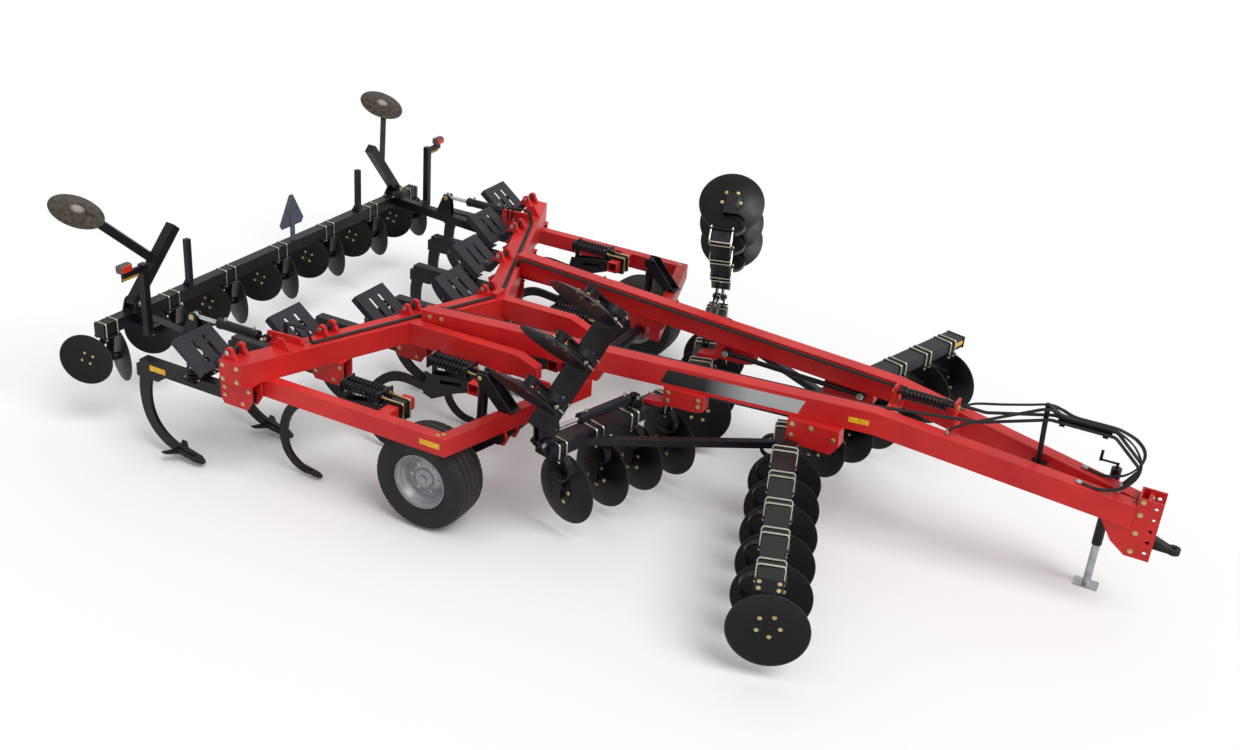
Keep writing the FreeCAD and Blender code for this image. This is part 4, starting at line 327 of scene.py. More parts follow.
redPaint = makePaint("redMachineEnamel")
blackPaint = makePaint("blackChassisEnamel")
forging = makePaint("blackDrawbarForging")
coverPaint = makePaint("graphiteCoverPaint")
endWingPaint = makePaint("blackEndWingEnamel", wornBlade)
discLacquer = makeDiscLacquer(lacquerSet)
tyreRubber = makeTyreRubber(rubberSet)
yellowZinc, paleZinc, clearZinc, chromeRod, silverPaint = (makeMetal(name) for name in metalSet)
redLens, yellowFilm, lampBody, signSheet, hoseRubber = (makePlastic(name) for name in plasticSet)
bandVinyl = makeBandVinyl(bandSet)
bySlot = {
    "red_paint": redPaint, "black_paint": blackPaint, "disc_steel": discLacquer, "tyre": tyreRubber,
    "zinc": clearZinc, "chrome": chromeRod, "lamp_amber": redLens, "grey_sheet": signSheet,
    "rubber_hose": hoseRubber,
}
byNode = {
    "hitch_eye": forging, "shank_covers": coverPaint,
    "leveler_wing_left": endWingPaint, "leveler_wing_right": endWingPaint,
}
for part in frame["record"]["subparts"]:
    node = nodes[part["node"]]
    node.data.materials.clear()
    node.data.materials.append(byNode.get(part["node"], bySlot[part["material_slot"]]))
print("materials assigned")


# shapes: each is (points, faces, tag), worked out as whole arrays; tag is one number per point that
# materials read
def gridFaces(rows, columns, closeRows, closeColumns):
    # quads between neighbouring points of a rows by columns grid
    i = np.arange(rows if closeRows else rows - 1)[:, None]
    j = np.arange(columns if closeColumns else columns - 1)[None, :]
    nextRow, nextColumn = (i + 1) % rows, (j + 1) % columns
    corners = (i * columns + j, i * columns + nextColumn, nextRow * columns + nextColumn,
               nextRow * columns + j)
    return np.stack([c + 0 * (i + j) for c in corners], -1).reshape(-1, 4)


def turned(profile, segments, cut=None):
    # a profile of (radius, height) turned about Z: x = (r - cut) cos t, y = (r - cut) sin t, z = h;
    # the tag is the radius as a share of the largest
    profile = np.asarray(profile, float)
    t = np.linspace(0, 2 * math.pi, segments, endpoint=False)
    radius = profile[:, :1] - (0 if cut is None else cut(profile, t))
    x, y = radius * np.cos(t), radius * np.sin(t)
    z = np.broadcast_to(profile[:, 1:2], x.shape)
    points = np.stack([x, y, z], -1).reshape(-1, 3)
    faces = gridFaces(len(profile), segments, False, True)[:, ::-1]
    return points, faces, (radius / profile[:, 0].max() + 0 * x).reshape(-1)


def swept(path, section, up):
    # a closed section (across, above) carried along a path, its "above" kept as near up as the path allows,
    # and both ends closed
    path = np.asarray(path, float)
    section = np.asarray(section, float)
    along = np.gradient(path, axis=0)
    along /= np.linalg.norm(along, axis=1)[:, None]
    up = np.broadcast_to(np.asarray(up, float), along.shape)
    across = np.cross(along, up)
    across /= np.linalg.norm(across, axis=1)[:, None]
    above = np.cross(across, along)
    rings = path[:, None] + section[None, :, :1] * across[:, None] + section[None, :, 1:] * above[:, None]
    first = np.broadcast_to(path[0], rings[:1].shape)
    last = np.broadcast_to(path[-1], rings[:1].shape)
    rings = np.concatenate([first, rings, last])
    count = len(section)
    faces = gridFaces(len(rings), count, False, True)
    return rings.reshape(-1, 3), faces, np.zeros(rings.shape[0] * count)


def circle(radius, sides):
    t = np.linspace(0, 2 * math.pi, sides, endpoint=False)
    return np.stack([np.cos(t), np.sin(t)], -1) * radius


def roundedBox(size, edge):
    # a block with bevelled edges: a rounded outline in X and Y, drawn in at its top and bottom
    half = np.asarray(size, float) / 2
    outline = np.array([(1, -1), (1, 1), (-1, 1), (-1, -1)], float)
    inset = np.array([(-1, 0), (0, 1), (0, -1), (-1, 0), (1, 0), (0, -1), (0, 1), (1, 0)], float)
    ring = np.repeat(outline, 2, axis=0) * half[:2] + inset * edge
    heights = np.array([-half[2], -half[2], -half[2] + edge, half[2] - edge, half[2], half[2]])
    shrink = np.array([[half[0], half[1]], [edge, edge], [0, 0], [0, 0], [edge, edge], [half[0], half[1]]])
    flat = ring[None] - np.sign(ring)[None] * np.minimum(shrink[:, None], np.abs(ring)[None])
    points = np.concatenate([flat, np.broadcast_to(heights[:, None, None], (6, 8, 1))], -1).reshape(-1, 3)
    return points, gridFaces(6, 8, False, True), np.zeros(48)


def panel(corners, normal, thickness):
    # a thin four-cornered plate: its corners, and the same corners moved along the normal
    corners = np.asarray(corners, float)
    lifted = corners + np.asarray(normal, float) * thickness
    faces = np.array([(0, 1, 2, 3), (7, 6, 5, 4), (0, 4, 5, 1), (1, 5, 6, 2), (2, 6, 7, 3), (3, 7, 4, 0)])
    return np.concatenate([corners, lifted]), faces, np.zeros(8)


def placed(shape, matrix):
    points, faces, tag = shape
    matrix = np.asarray(matrix, float)
    return points @ matrix[:3, :3].T + matrix[:3, 3], faces, tag


def joined(shapes):
    points, faces, tags = zip(*shapes)
    starts = np.cumsum([0] + [len(p) for p in points[:-1]])
    faces = [f + start for f, start in zip(faces, starts)]
    return np.concatenate(points), np.concatenate(faces), np.concatenate(tags)


def facing(place, direction):
    # a frame at a place whose Z looks along a direction
    turn = Vector(direction).to_track_quat("Z", "Y").to_matrix().to_4x4()
    return Matrix.Translation(Vector(place)) @ turn


unturned = Matrix.Identity(4)
flip = Matrix.Diagonal((1, -1, 1, 1))
sides = (("left", unturned), ("right", flip))
towardsY = Matrix.Rotation(math.radians(-90), 4, "X")


def bothSides(shapes):
    return shapes + [placed(shape, flip) for shape in shapes]


def makePiece(name, layers, body, hides=(), smooth=40):
    # layers are (material, [shapes]) pairs; one mesh object that rides on a body
    mesh = bpy.data.meshes.new(name)
    whole = [joined(shapes) for material, shapes in layers]
    points, faces, tags = joined(whole)
    slotOf = np.repeat(np.arange(len(layers)), [len(w[1]) for w in whole])
    mesh.from_pydata(points.tolist(), [], faces.tolist())
    for material, shapes in layers:
        mesh.materials.append(material)
    mesh.polygons.foreach_set("material_index", slotOf.astype(np.int32))
    mesh.polygons.foreach_set("use_smooth", np.ones(len(faces), bool))
    attribute = mesh.attributes.new("radial", "FLOAT", "POINT")
    attribute.data.foreach_set("value", tags.astype(np.float32))
    tidy = bmesh.new()
    tidy.from_mesh(mesh)
    bmesh.ops.remove_doubles(tidy, verts=tidy.verts, dist=1e-6)
    bmesh.ops.dissolve_degenerate(tidy, edges=tidy.edges, dist=1e-7)
    bmesh.ops.recalc_face_normals(tidy, faces=tidy.faces)
    tidy.to_mesh(mesh)
    tidy.free()
    mesh.set_sharp_from_angle(angle=math.radians(smooth))
    piece = bpy.data.objects.new(name, mesh)
    bpy.context.scene.collection.objects.link(piece)
    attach(piece, body)
    if hides:
        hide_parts(*hides)
    print("made", name, len(mesh.polygons), "faces")
    return piece


# small fasteners
def hexBolt(size):
    # a six-sided head with a chamfered top on a thin round washer, both turned and standing on Z = 0; their
    # (radius, height) profiles are shares of the size, which is half the head's width over its corners
    head = [(0, 0.9), (0.8, 0.9), (1, 0.74), (1, 0.1), (0, 0.1)]
    washer = [(0, 0.16), (1.35, 0.16), (1.35, 0), (0, 0)]
    return joined([turned(np.multiply(head, size), 6), turned(np.multiply(washer, size), 14)])


def pinHead(radius, height):
    # a headed pin's end: a low round boss with a chamfer
    return turned([(0, height), (radius * 0.8, height), (radius, height * 0.75), (radius, 0), (0, 0)], 20)


def bolts(size, direction, places):
    return [placed(hexBolt(size), facing(place, direction)) for place in places]


def boltRows(rows):
    # rows are (size, the way the heads look, places)
    return [head for size, way, places in rows.values() for head in bolts(size, way, places)]


def hooped(halfWidth, top, low, corner, wire):
    # a bent bolt: up one leg, over a quarter turn at each corner, and down the other leg, in X and Z
    t = np.linspace(math.pi, math.pi / 2, 7)
    left = np.stack([-halfWidth + corner + corner * np.cos(t), top - corner + corner * np.sin(t)], -1)
    flat = np.concatenate([[(-halfWidth, low)], left, left[::-1] * (-1, 1), [(halfWidth, low)]])
    path = np.column_stack([flat[:, 0], np.zeros(len(flat)), flat[:, 1]])
    return swept(path, circle(wire, 8), (0, 1, 0))


# frames of the gangs: X across the bar, Y outwards from its outer end; the first disc of each gang and how
# far its blade stands from the disc's own place are along that Y
gangSet = {
    "frontOuter": (2.130, 2.402, 0), "frontTurn": -17.9, "rearOuter": (-0.032, 1.690, 0), "rearTurn": 16.8,
    "foldAxis": (0, 0.060, 0.935), "fold": 135, "pitch": 0.405,
    "frontFirst": -0.200, "rearFirst": -0.120, "wingFirst": 0.380,
    "frontBlade": 0.072, "rearBlade": -0.072, "wingBlade": -0.060,
    "axisX": 0.035, "axisZ": 0.425, "barTop": 0.892, "barHalf": 0.090, "plateTop": 0.778,
}


def turnedFrame(outer, angle):
    return Matrix.Translation(Vector(outer)) @ Matrix.Rotation(math.radians(angle), 4, "Z")


frontFrame = turnedFrame(gangSet["frontOuter"], gangSet["frontTurn"])
rearFrame = turnedFrame(gangSet["rearOuter"], gangSet["rearTurn"])
foldPlace = Matrix.Translation(Vector(gangSet["foldAxis"]))
foldTurn = Matrix.Rotation(math.radians(gangSet["fold"]), 4, "X")
wingFrame = rearFrame @ foldPlace @ foldTurn @ foldPlace.inverted()
frontStations = [gangSet["frontFirst"] - gangSet["pitch"] * i for i in range(6)]
rearStations = [gangSet["rearFirst"] - gangSet["pitch"] * i for i in range(4)]
wingStations = [gangSet["wingFirst"] + gangSet["pitch"] * i for i in range(3)]

# discs: dished blades with a domed cap, bolted to their hubs; the leveler's have no flange behind them
discSet = {
    "gang": {"radius": 0.300, "dish": 0.055, "thick": 0.007, "hub": 0.062, "hubLength": 0.036,
             "flange": 0.106, "boltRing": 0.088, "bolts": 5, "boltSize": 0.0125},
    "wing": {"radius": 0.300, "dish": 0.055, "thick": 0.007, "hub": 0.0496, "hubLength": 0.0737,
             "flange": 0.106, "boltRing": 0.088, "bolts": 5, "boltSize": 0.0125},
    "leveler": {"radius": 0.232, "dish": 0.030, "thick": 0.006, "flange": 0.0,
                "boltRing": 0.052, "bolts": 4, "boltSize": 0.009},
}
bladeSet = {
    "flatShare": 0.38, "cap": [(0, 0.014), (0.014, 0.013), (0.020, 0.008), (0.030, 0.006), (0.036, 0)],
}


def discShapes(s):
    # blade: flat out to a share of its radius, then height = dish (r^2 - f^2) / (R^2 - f^2), thinner at the
    # rim; the caps and hubs have a tag of 0, so that the rim's grey stays on the blade
    flat, t = bladeSet["flatShare"] * s["radius"], s["thick"]
    r = np.linspace(flat, s["radius"], 13)
    share = (r ** 2 - flat ** 2) / (s["radius"] ** 2 - flat ** 2)
    front = t + (s["dish"] - 0.6 * t) * share
    back = s["dish"] * share
    profile = [(0, t), (flat * 0.55, t)] + list(zip(r, front)) + list(zip(r, back))[::-1] + [(0, 0)]
    cap = turned([(radius, t + height) for radius, height in bladeSet["cap"]] + [(0, t)], 24)
    dark = [turned(profile, 72), (cap[0], cap[1], cap[2] * 0)]
    angles = [2 * math.pi * (k + 0.25) / s["bolts"] for k in range(s["bolts"])]
    ring = [(s["boltRing"] * math.cos(a), s["boltRing"] * math.sin(a)) for a in angles]
    bright = bolts(s["boltSize"], (0, 0, 1), [(x, y, t) for x, y in ring])
    if s["flange"]:
        f, h, d = s["flange"], s["hub"], s["hubLength"]
        hub = turned([(0, 0), (f, 0), (f, -0.007), (h + 0.012, -0.010), (h, -0.016), (h, -d), (0, -d)], 40)
        dark.append((hub[0], hub[1], hub[2] * 0))
        bright += bolts(s["boltSize"], (0, 0, -1), [(x, y, -0.008) for x, y in ring])
    return dark, bright


def discsAt(kind, places):
    found = discShapes(discSet[kind])
    return [[placed(shape, place) for place in places for shape in shapes] for shapes in found]


def discFrame(base, y, outward, spin):
    # the blade's Z looks along the gang, outwards or inwards, and the blade is spun about its axis
    turn = towardsY if outward else Matrix.Rotation(math.radians(90), 4, "X")
    spot = Matrix.Translation(Vector((gangSet["axisX"], y, gangSet["axisZ"])))
    return base @ spot @ turn @ Matrix.Rotation(spin, 4, "Z")


# the front blades look outwards and the others inwards, each spun by a different angle
gangs = (
    ("frontDiscs", "front_discs_", "gang", frontFrame, frontStations, gangSet["frontBlade"]),
    ("rearDiscs", "rear_discs_", "gang", rearFrame, rearStations, gangSet["rearBlade"]),
    ("wingDiscs", "wing_discs_", "wing", wingFrame, wingStations, gangSet["wingBlade"]),
)
for side, mirror in sides:
    for name, nodeName, kind, base, stations, shift in gangs:
        places = [mirror @ discFrame(base, y + shift, shift > 0, y) for y in stations]
        dark, bright = discsAt(kind, places)
        makePiece(name + side.capitalize(), [(discLacquer, dark), (yellowZinc, bright)], nodeName + side,
                  [nodeName + side])

# leveler: seven pairs of small discs under a bar, each pair clamped to it by two bent bolts
levelerSet = {
    "x": -4.010, "half": 0.055, "top": 1.040, "bottom": 0.930, "pitch": 0.735, "axisZ": 0.680, "toe": 23.0,
    "pairX": -0.083, "stepX": 0.081, "stepY": 0.088, "wire": 0.0055, "pairHalf": 0.062, "corner": 0.014,
    "tail": 0.040, "nut": 0.010, "plateHalf": (0.074, 0.080), "plateLow": 0.024, "plateHigh": 0.014,
}


def levelerDiscFrame(y, side):
    s = levelerSet
    centre = Vector((s["x"] + s["pairX"] + s["stepX"] * side, y + s["stepY"] * side, s["axisZ"]))
    turn = towardsY if side > 0 else Matrix.Rotation(math.radians(90), 4, "X")
    return Matrix.Translation(centre) @ Matrix.Rotation(math.radians(-side * s["toe"]), 4, "Z") @ turn


levelerStations = [levelerSet["pitch"] * i for i in range(-3, 4)]
dark, bright = discsAt("leveler", [levelerDiscFrame(y, side) for y in levelerStations for side in (-1, 1)])
makePiece("levelerDiscs", [(discLacquer, dark), (yellowZinc, bright)], "leveler",
          ["leveler_discs"])


# wheels: a ribbed implement tyre on a deep silver rim
wheelSet = {
    "centre": (-0.940, 1.888, 0.420), "radius": 0.420, "treadHalf": 0.128, "crown": 0.35,
    "grooves": (-0.096, -0.033, 0.033, 0.096),
    "grooveHalf": 0.0065, "grooveDepth": 0.010, "grooveLip": 0.0012,
    "notches": 60, "notchShare": 0.34, "notchDepth": 0.006, "shoulderFrom": 0.130, "shoulderRadius": 0.38,
    "studRing": 0.117, "studFace": 0.0585, "studSize": 0.013,
}


def tyreProfile(s):
    # from bead to bead: sidewall bulge, rounded shoulder, and four grooves across a tread that drops by
    # crown times the square of its distance from the middle
    half, deep, lip = s["grooveHalf"], s["grooveDepth"], s["grooveLip"]
    across = [(0, -s["treadHalf"])]
    for g in s["grooves"]:
        across += [(0, g - half - 0.002), (lip, g - half), (deep, g - half * 0.6),
                   (deep, g + half * 0.6), (lip, g + half), (0, g + half + 0.002)]
    across.append((0, s["treadHalf"]))
    tread = [(s["radius"] - drop - s["crown"] * h * h, h) for drop, h in across]
    wall = [(0.224, 0.128), (0.232, 0.146), (0.243, 0.156), (0.250, 0.166), (0.262, 0.172), (0.266, 0.1755),
            (0.270, 0.1755), (0.276, 0.180), (0.300, 0.187), (0.318, 0.1895), (0.340, 0.1895), (0.358, 0.186),
            (0.362, 0.1865), (0.372, 0.183), (0.386, 0.174), (0.398, 0.162), (0.407, 0.148)]
    left = [(r, -h) for r, h in wall]
    return left + tread + wall[::-1] + [(0.224, 0.0), (0.224, -0.128)]


def shoulderCut(profile, t):
    # notches pressed into the two shoulders, a third of each step round the tyre
    s = wheelSet
    step = (t * s["notches"] / (2 * math.pi)) % 1.0
    shoulder = (np.abs(profile[:, 1]) > s["shoulderFrom"]) & (profile[:, 0] > s["shoulderRadius"])
    return shoulder[:, None] * np.where(step < s["notchShare"], s["notchDepth"], 0.0)[None, :]


def rimShapes(s):
    # a pressed rim with its deep dish, a hub cap, and six wheel bolts
    rim = [(0.0, 0.098), (0.030, 0.098), (0.034, 0.094), (0.070, 0.094), (0.080, 0.088), (0.090, 0.068),
           (0.104, 0.062), (0.128, 0.056), (0.148, 0.040), (0.156, 0.036), (0.163, 0.040), (0.176, 0.084),
           (0.184, 0.094), (0.203, 0.116), (0.208, 0.128), (0.226, 0.139), (0.233, 0.147), (0.235, 0.151),
           (0.232, 0.153), (0.226, 0.150), (0.224, 0.140), (0.2235, 0.120), (0.2235, -0.120), (0.224, -0.140),
           (0.226, -0.150), (0.232, -0.153), (0.235, -0.151), (0.226, -0.138), (0.208, -0.127),
           (0.200, -0.110), (0.190, -0.020), (0.182, 0.010), (0.150, 0.026), (0.090, 0.030),
           (0.070, -0.060), (0.0, -0.060)]
    cap = [(0, 0.124), (0.026, 0.122), (0.036, 0.114), (0.039, 0.098), (0.062, 0.0985), (0.064, 0.094),
           (0, 0.094)]
    angles = np.arange(6) * math.pi / 3
    ring = [(s["studRing"] * math.cos(a), s["studRing"] * math.sin(a), s["studFace"]) for a in angles]
    return [turned(rim, 96)], [turned(cap, 40)], bolts(s["studSize"], (0, 0, 1), ring)


for side, mirror in sides:
    spot = mirror @ Matrix.Translation(Vector(wheelSet["centre"])) @ towardsY
    tyre = turned(tyreProfile(wheelSet), 240, shoulderCut)
    rim, cap, studs = rimShapes(wheelSet)
    layers = [(tyreRubber, [tyre]), (silverPaint, rim), (silverPaint, cap), (clearZinc, studs)]
    layers = [(material, [placed(shape, spot) for shape in shapes]) for material, shapes in layers]
    makePiece("wheel" + side.capitalize(), layers, "wheel_" + side, ["wheel_" + side])


# coil springs: wound wire, closed at both ends, on a bar; X and Y are from the shank's or chisel's place,
# and the tongue's from the middle of the frame
springSet = {
    "shank": {"radius": 0.052, "wire": 0.0105, "turns": 8.0, "bar": 0.016, "half": 0.092,
              "ends": ((-0.480, 0, 0.889), (-0.445, 0, 1.1358)),
              "bolts": ((-0.545, 0, 0.889), (-0.415, 0, 0.889)), "boltSize": 0.011,
              "plate": ((-0.555, -0.150, 0.875), (-0.405, 0.150, 0.889))},
    "chisel": {"radius": 0.042, "wire": 0.0095, "turns": 12.0, "bar": 0.012, "half": 0.050,
               "ends": ((-0.128, 0, 1.018), (-0.482, 0, 1.018)),
               "barEnds": ((-0.100, 0, 1.018), (-0.512, 0, 1.018)),
               "nuts": ((1, (-0.110, 0, 1.018)), (-1, (-0.500, 0, 1.018))), "nutSize": 0.014,
               "plates": (((-0.128, -0.095, 0.966), (-0.110, 0.095, 1.062)),
                          ((-0.500, -0.095, 0.966), (-0.482, 0.095, 1.062)),
                          ((-0.127, -0.012, 0.960), (-0.058, 0.012, 1.042)),
                          ((-0.499, -0.012, 0.778), (-0.456, 0.012, 1.028)))},
    "tongue": {"radius": 0.052, "wire": 0.0090, "turns": 12.0, "bar": 0.016,
               "ends": ((2.270, 0, 1.320), (2.600, 0, 1.320)),
               "barEnds": ((2.180, 0, 1.320), (2.720, 0, 1.320)),
               "nuts": ((-1, (2.189, 0, 1.320)), (1, (2.701, 0, 1.320))), "nutSize": 0.020,
               "cups": (((2.258, 0, 1.320), (2.270, 0, 1.320)), ((2.600, 0, 1.320), (2.612, 0, 1.320))),
               "cupRadius": 0.060},
}


def coil(start, end, s):
    # a helix: x = r cos t, y = r sin t, z rises evenly between one flat turn at each end
    start, end = Vector(start), Vector(end)
    length = (end - start).length
    t = np.linspace(0, 2 * math.pi * s["turns"], int(18 * s["turns"]))
    r = s["radius"] - s["wire"]
    rise = np.clip((t - 1.6 * math.pi) / (t[-1] - 3.2 * math.pi), 0, 1)
    z = s["wire"] + (length - 2 * s["wire"]) * rise
    helix = swept(np.column_stack([r * np.cos(t), r * np.sin(t), z]), circle(s["wire"], 8), (0, 0, 1))
    return placed(helix, facing(start, end - start))


def roundBar(start, end, radius, segments=20):
    # a round bar with a small chamfer at each end
    length = (Vector(end) - Vector(start)).length
    edge = min(0.002, radius * 0.2)
    profile = [(0, length), (radius - edge, length), (radius, length - edge), (radius, edge),
               (radius - edge, 0), (0, 0)]
    return placed(turned(profile, segments), facing(start, Vector(end) - Vector(start)))


def box(low, high, edge=0.003):
    # a bevelled block between two corners
    low, high = np.asarray(low, float), np.asarray(high, float)
    return placed(roundedBox(high - low, edge), Matrix.Translation(Vector((low + high) / 2)))


def endNuts(s, base):
    # the nuts at the ends of a spring's bar, looking forwards or backwards
    return [nut for way, spot in s["nuts"] for nut in bolts(s["nutSize"], (way, 0, 0), [base + spot])]


# the V toolbar: its shanks, and where its middle line is at a distance from the centre line
toolbarSet = {"x": -1.515, "slope": 0.404, "firstShank": -2.286, "pitch": 0.762, "end": 2.410}
shankStations = [toolbarSet["firstShank"] + toolbarSet["pitch"] * i for i in range(7)]


def toolbarX(y):
    return toolbarSet["x"] - toolbarSet["slope"] * abs(y)


s = springSet["shank"]
steel, plated = [], []
for y in shankStations:
    base = np.array([toolbarX(y), y, 0.0])
    steel.append(box(base + s["plate"][0], base + s["plate"][1]))
    for k in (-s["half"], s["half"]):
        start, end = (base + (0, k, 0) + spot for spot in s["ends"])
        steel += [coil(start, end, s), roundBar(start, end, s["bar"])]
        plated += bolts(s["boltSize"], (0, 0, 1), [base + (0, k, 0) + spot for spot in s["bolts"]])
makePiece("shankSprings", [(blackPaint, steel), (yellowZinc, plated)], "frame",
          ["shank_springs"])

s = springSet["chisel"]
chiselPlaces = [(-0.622, 0.381), (-0.9298, 1.143), (-1.2377, 1.905)]
steel, plated = [], []
for x, y in chiselPlaces:
    for k in (-s["half"], s["half"]):
        base = np.array([x, y + k, 0.0])
        steel.append(coil(*(base + spot for spot in s["ends"]), s))
        steel.append(roundBar(*(base + spot for spot in s["barEnds"]), s["bar"]))
        plated += endNuts(s, base)
    steel += [box(low + np.array([x, y, 0]), high + np.array([x, y, 0])) for low, high in s["plates"]]
makePiece("chiselSprings", [(blackPaint, bothSides(steel)), (yellowZinc, bothSides(plated))], "frame",
          ["chisel_springs"])

s = springSet["tongue"]
steel = [coil(*s["ends"], s), roundBar(*s["barEnds"], s["bar"])]
steel += [roundBar(*cup, s["cupRadius"], 36) for cup in s["cups"]]
plated = endNuts(s, np.zeros(3))
makePiece("tongueSpring", [(blackPaint, steel), (yellowZinc, plated)], "frame",
          ["tongue_spring"])


# clamps: pairs of bent bolts round each bar, with the plate and nuts under it
clampSet = {
    "wire": 0.0075, "pairHalf": 0.038, "corner": 0.020, "tail": 0.024, "nut": 0.014, "plate": 0.012,
    "plateMargin": (0.044, 0.034),
}


def gangClamps(base, stations):
    s, g = clampSet, gangSet
    reach = g["barHalf"] + s["wire"]
    low = g["plateTop"] - s["plate"]
    marginX, marginY = s["plateMargin"]
    size = (2 * reach + marginX, 2 * s["pairHalf"] + marginY, s["plate"])
    hoops, plates = [], []
    for y in stations:
        for k in (-s["pairHalf"], s["pairHalf"]):
            spot = base @ Matrix.Translation(Vector((0, y + k, 0)))
            hoop = hooped(reach, g["barTop"] + s["wire"], low - s["tail"], s["corner"], s["wire"])
            hoops.append(placed(hoop, spot))
            hoops += [placed(hexBolt(s["nut"]), spot @ facing((x, 0, low), (0, 0, -1)))
                      for x in (-reach, reach)]
        spot = base @ Matrix.Translation(Vector((0, y, g["plateTop"] - s["plate"] / 2)))
        plates.append(placed(roundedBox(size, 0.002), spot))
    return hoops, plates


frontHoops, frontPlates = gangClamps(frontFrame, frontStations)
rearHoops, rearPlates = gangClamps(rearFrame, rearStations)
layers = [(paleZinc, bothSides(frontHoops + rearHoops)), (blackPaint, bothSides(frontPlates + rearPlates))]
makePiece("gangClamps", layers, "frame")
wingHoops, wingPlates = gangClamps(wingFrame, wingStations)
for side, mirror in sides:
    layers = [(paleZinc, [placed(hoop, mirror) for hoop in wingHoops]),
              (blackPaint, [placed(plate, mirror) for plate in wingPlates])]
    makePiece("wingClamps" + side.capitalize(), layers, "wing_" + side)

s = levelerSet
reach = s["half"] + s["wire"]
plateX, plateY = s["plateHalf"]
low, high = s["bottom"] - s["plateLow"], s["bottom"] - s["plateHigh"]
hoops, plates = [], []
for y in levelerStations:
    for k in (-s["pairHalf"], s["pairHalf"]):
        spot = Matrix.Translation(Vector((s["x"], y + k, 0)))
        hoop = hooped(reach, s["top"] + s["wire"], s["bottom"] - s["tail"], s["corner"], s["wire"])
        hoops.append(placed(hoop, spot))
        hoops += [placed(hexBolt(s["nut"]), spot @ facing((x, 0, low), (0, 0, -1))) for x in (-reach, reach)]
    plates.append(box((s["x"] - plateX, y - plateY, low), (s["x"] + plateX, y + plateY, high), 0.002))
makePiece("levelerClamps", [(paleZinc, hoops), (blackPaint, plates)], "leveler")

# chisel mounts: two bent bolts round each clamp block, laid on their side
chiselClampSet = {
    "half": 0.046, "z": 0.930, "reach": 0.0825, "tail": 0.105, "corner": 0.018, "wire": 0.0075,
    "nut": 0.014, "nutX": -0.078,
}
s = chiselClampSet
hoops = []
for x, y in chiselPlaces:
    for k in (-s["half"], s["half"]):
        spot = Matrix.Translation(Vector((x, y + k, s["z"]))) @ Matrix.Rotation(math.radians(90), 4, "Y")
        hoops.append(placed(hooped(s["reach"], s["reach"], -s["tail"], s["corner"], s["wire"]), spot))
        nuts = [(x + s["nutX"], y + k, s["z"] + rise) for rise in (-s["reach"], s["reach"])]
        hoops += bolts(s["nut"], (-1, 0, 0), nuts)
makePiece("chiselClamps", [(yellowZinc, bothSides(hoops))], "frame")
print("clamps made")


# the tongue beams' outer faces: y = 0.646 - 0.123 x
beamSet = {"y": 0.646, "slope": 0.123}
beamNormal = Vector((beamSet["slope"], 1, 0)).normalized()


def beamOuterY(x):
    return beamSet["y"] - beamSet["slope"] * x


# bolts and pins of the frame: plated heads in rows, and bright ends on the shank, fold and link pins
frameBoltSet = {
    "frontHangers": (0.016, (0, 1, 0), [(1.545, 0.500, 0.940), (1.545, 0.500, 1.040), (1.700, 0.500, 1.045),
                                        (1.890, 0.500, 1.000)]),
    "rearHangers": (0.016, (0, 1, 0), [(0.500, 0.600, 0.975), (0.500, 0.600, 1.045), (0.770, 0.600, 0.995),
                                       (0.770, 0.600, 1.050)]),
    "beamEnds": (0.016, beamNormal, [(x, beamOuterY(x), z) for x in (-1.66, -1.55) for z in (1.125, 1.225)]),
    "hitchSides": (0.015, (0, 1, 0), [(4.190, 0.104, z) for z in (0.600, 0.760, 0.920, 1.030)]),
    "hitchFace": (0.018, (1, 0, 0), [(4.239, 0.048, z) for z in (0.960, 1.010)]),
    "cylinderPins": (0.015, (0, 1, 0), [(-0.700, 1.571, 1.220), (-2.545, 1.9255, 1.176)]),
    "levelerPivots": (0.022, (0, 1, 0), [(-2.480, 1.9555, 0.890)]),
    "railTops": (0.013, (0, 0, 1), [(-0.660, 2.130, 0.980), (-0.690, 2.165, 0.980), (-2.380, 2.150, 0.980),
                                    (-2.300, 2.150, 0.980)]),
    "levelerBrackets": (0.014, (0, -1, 0), [(-2.400, 1.826, 1.090), (-2.400, 1.826, 1.010),
                                            (-2.445, 1.826, 1.130)]),
    "toolbarEnds": (0.015, (0, 1, 0), [(toolbarX(toolbarSet["end"]) + x, toolbarSet["end"], z)
                                       for x in (-0.07, 0.07) for z in (1.015, 1.135)]),
}
bracketSet = {
    "bolts": ((-0.160, 0.905), (-0.160, 0.835), (0.085, 0.925), (0.020, 0.800)),
    "half": 0.068, "boltSize": 0.013, "pin": (-0.092, 1.232), "pinHalf": 0.094, "pinSize": (0.021, 0.008),
}
# fold pins: Y, Z and how far each end is from the middle, in the rear gang's frame
foldPinSet = {"size": (0.022, 0.008), "places": ((0.060, 0.935, 0.064), (-1.010, 0.992, 0.037))}
linkPinSet = {"size": (0.030, 0.010), "places": ((1.843, 0.294, 1.035), (0.574, 0.404, 1.020))}

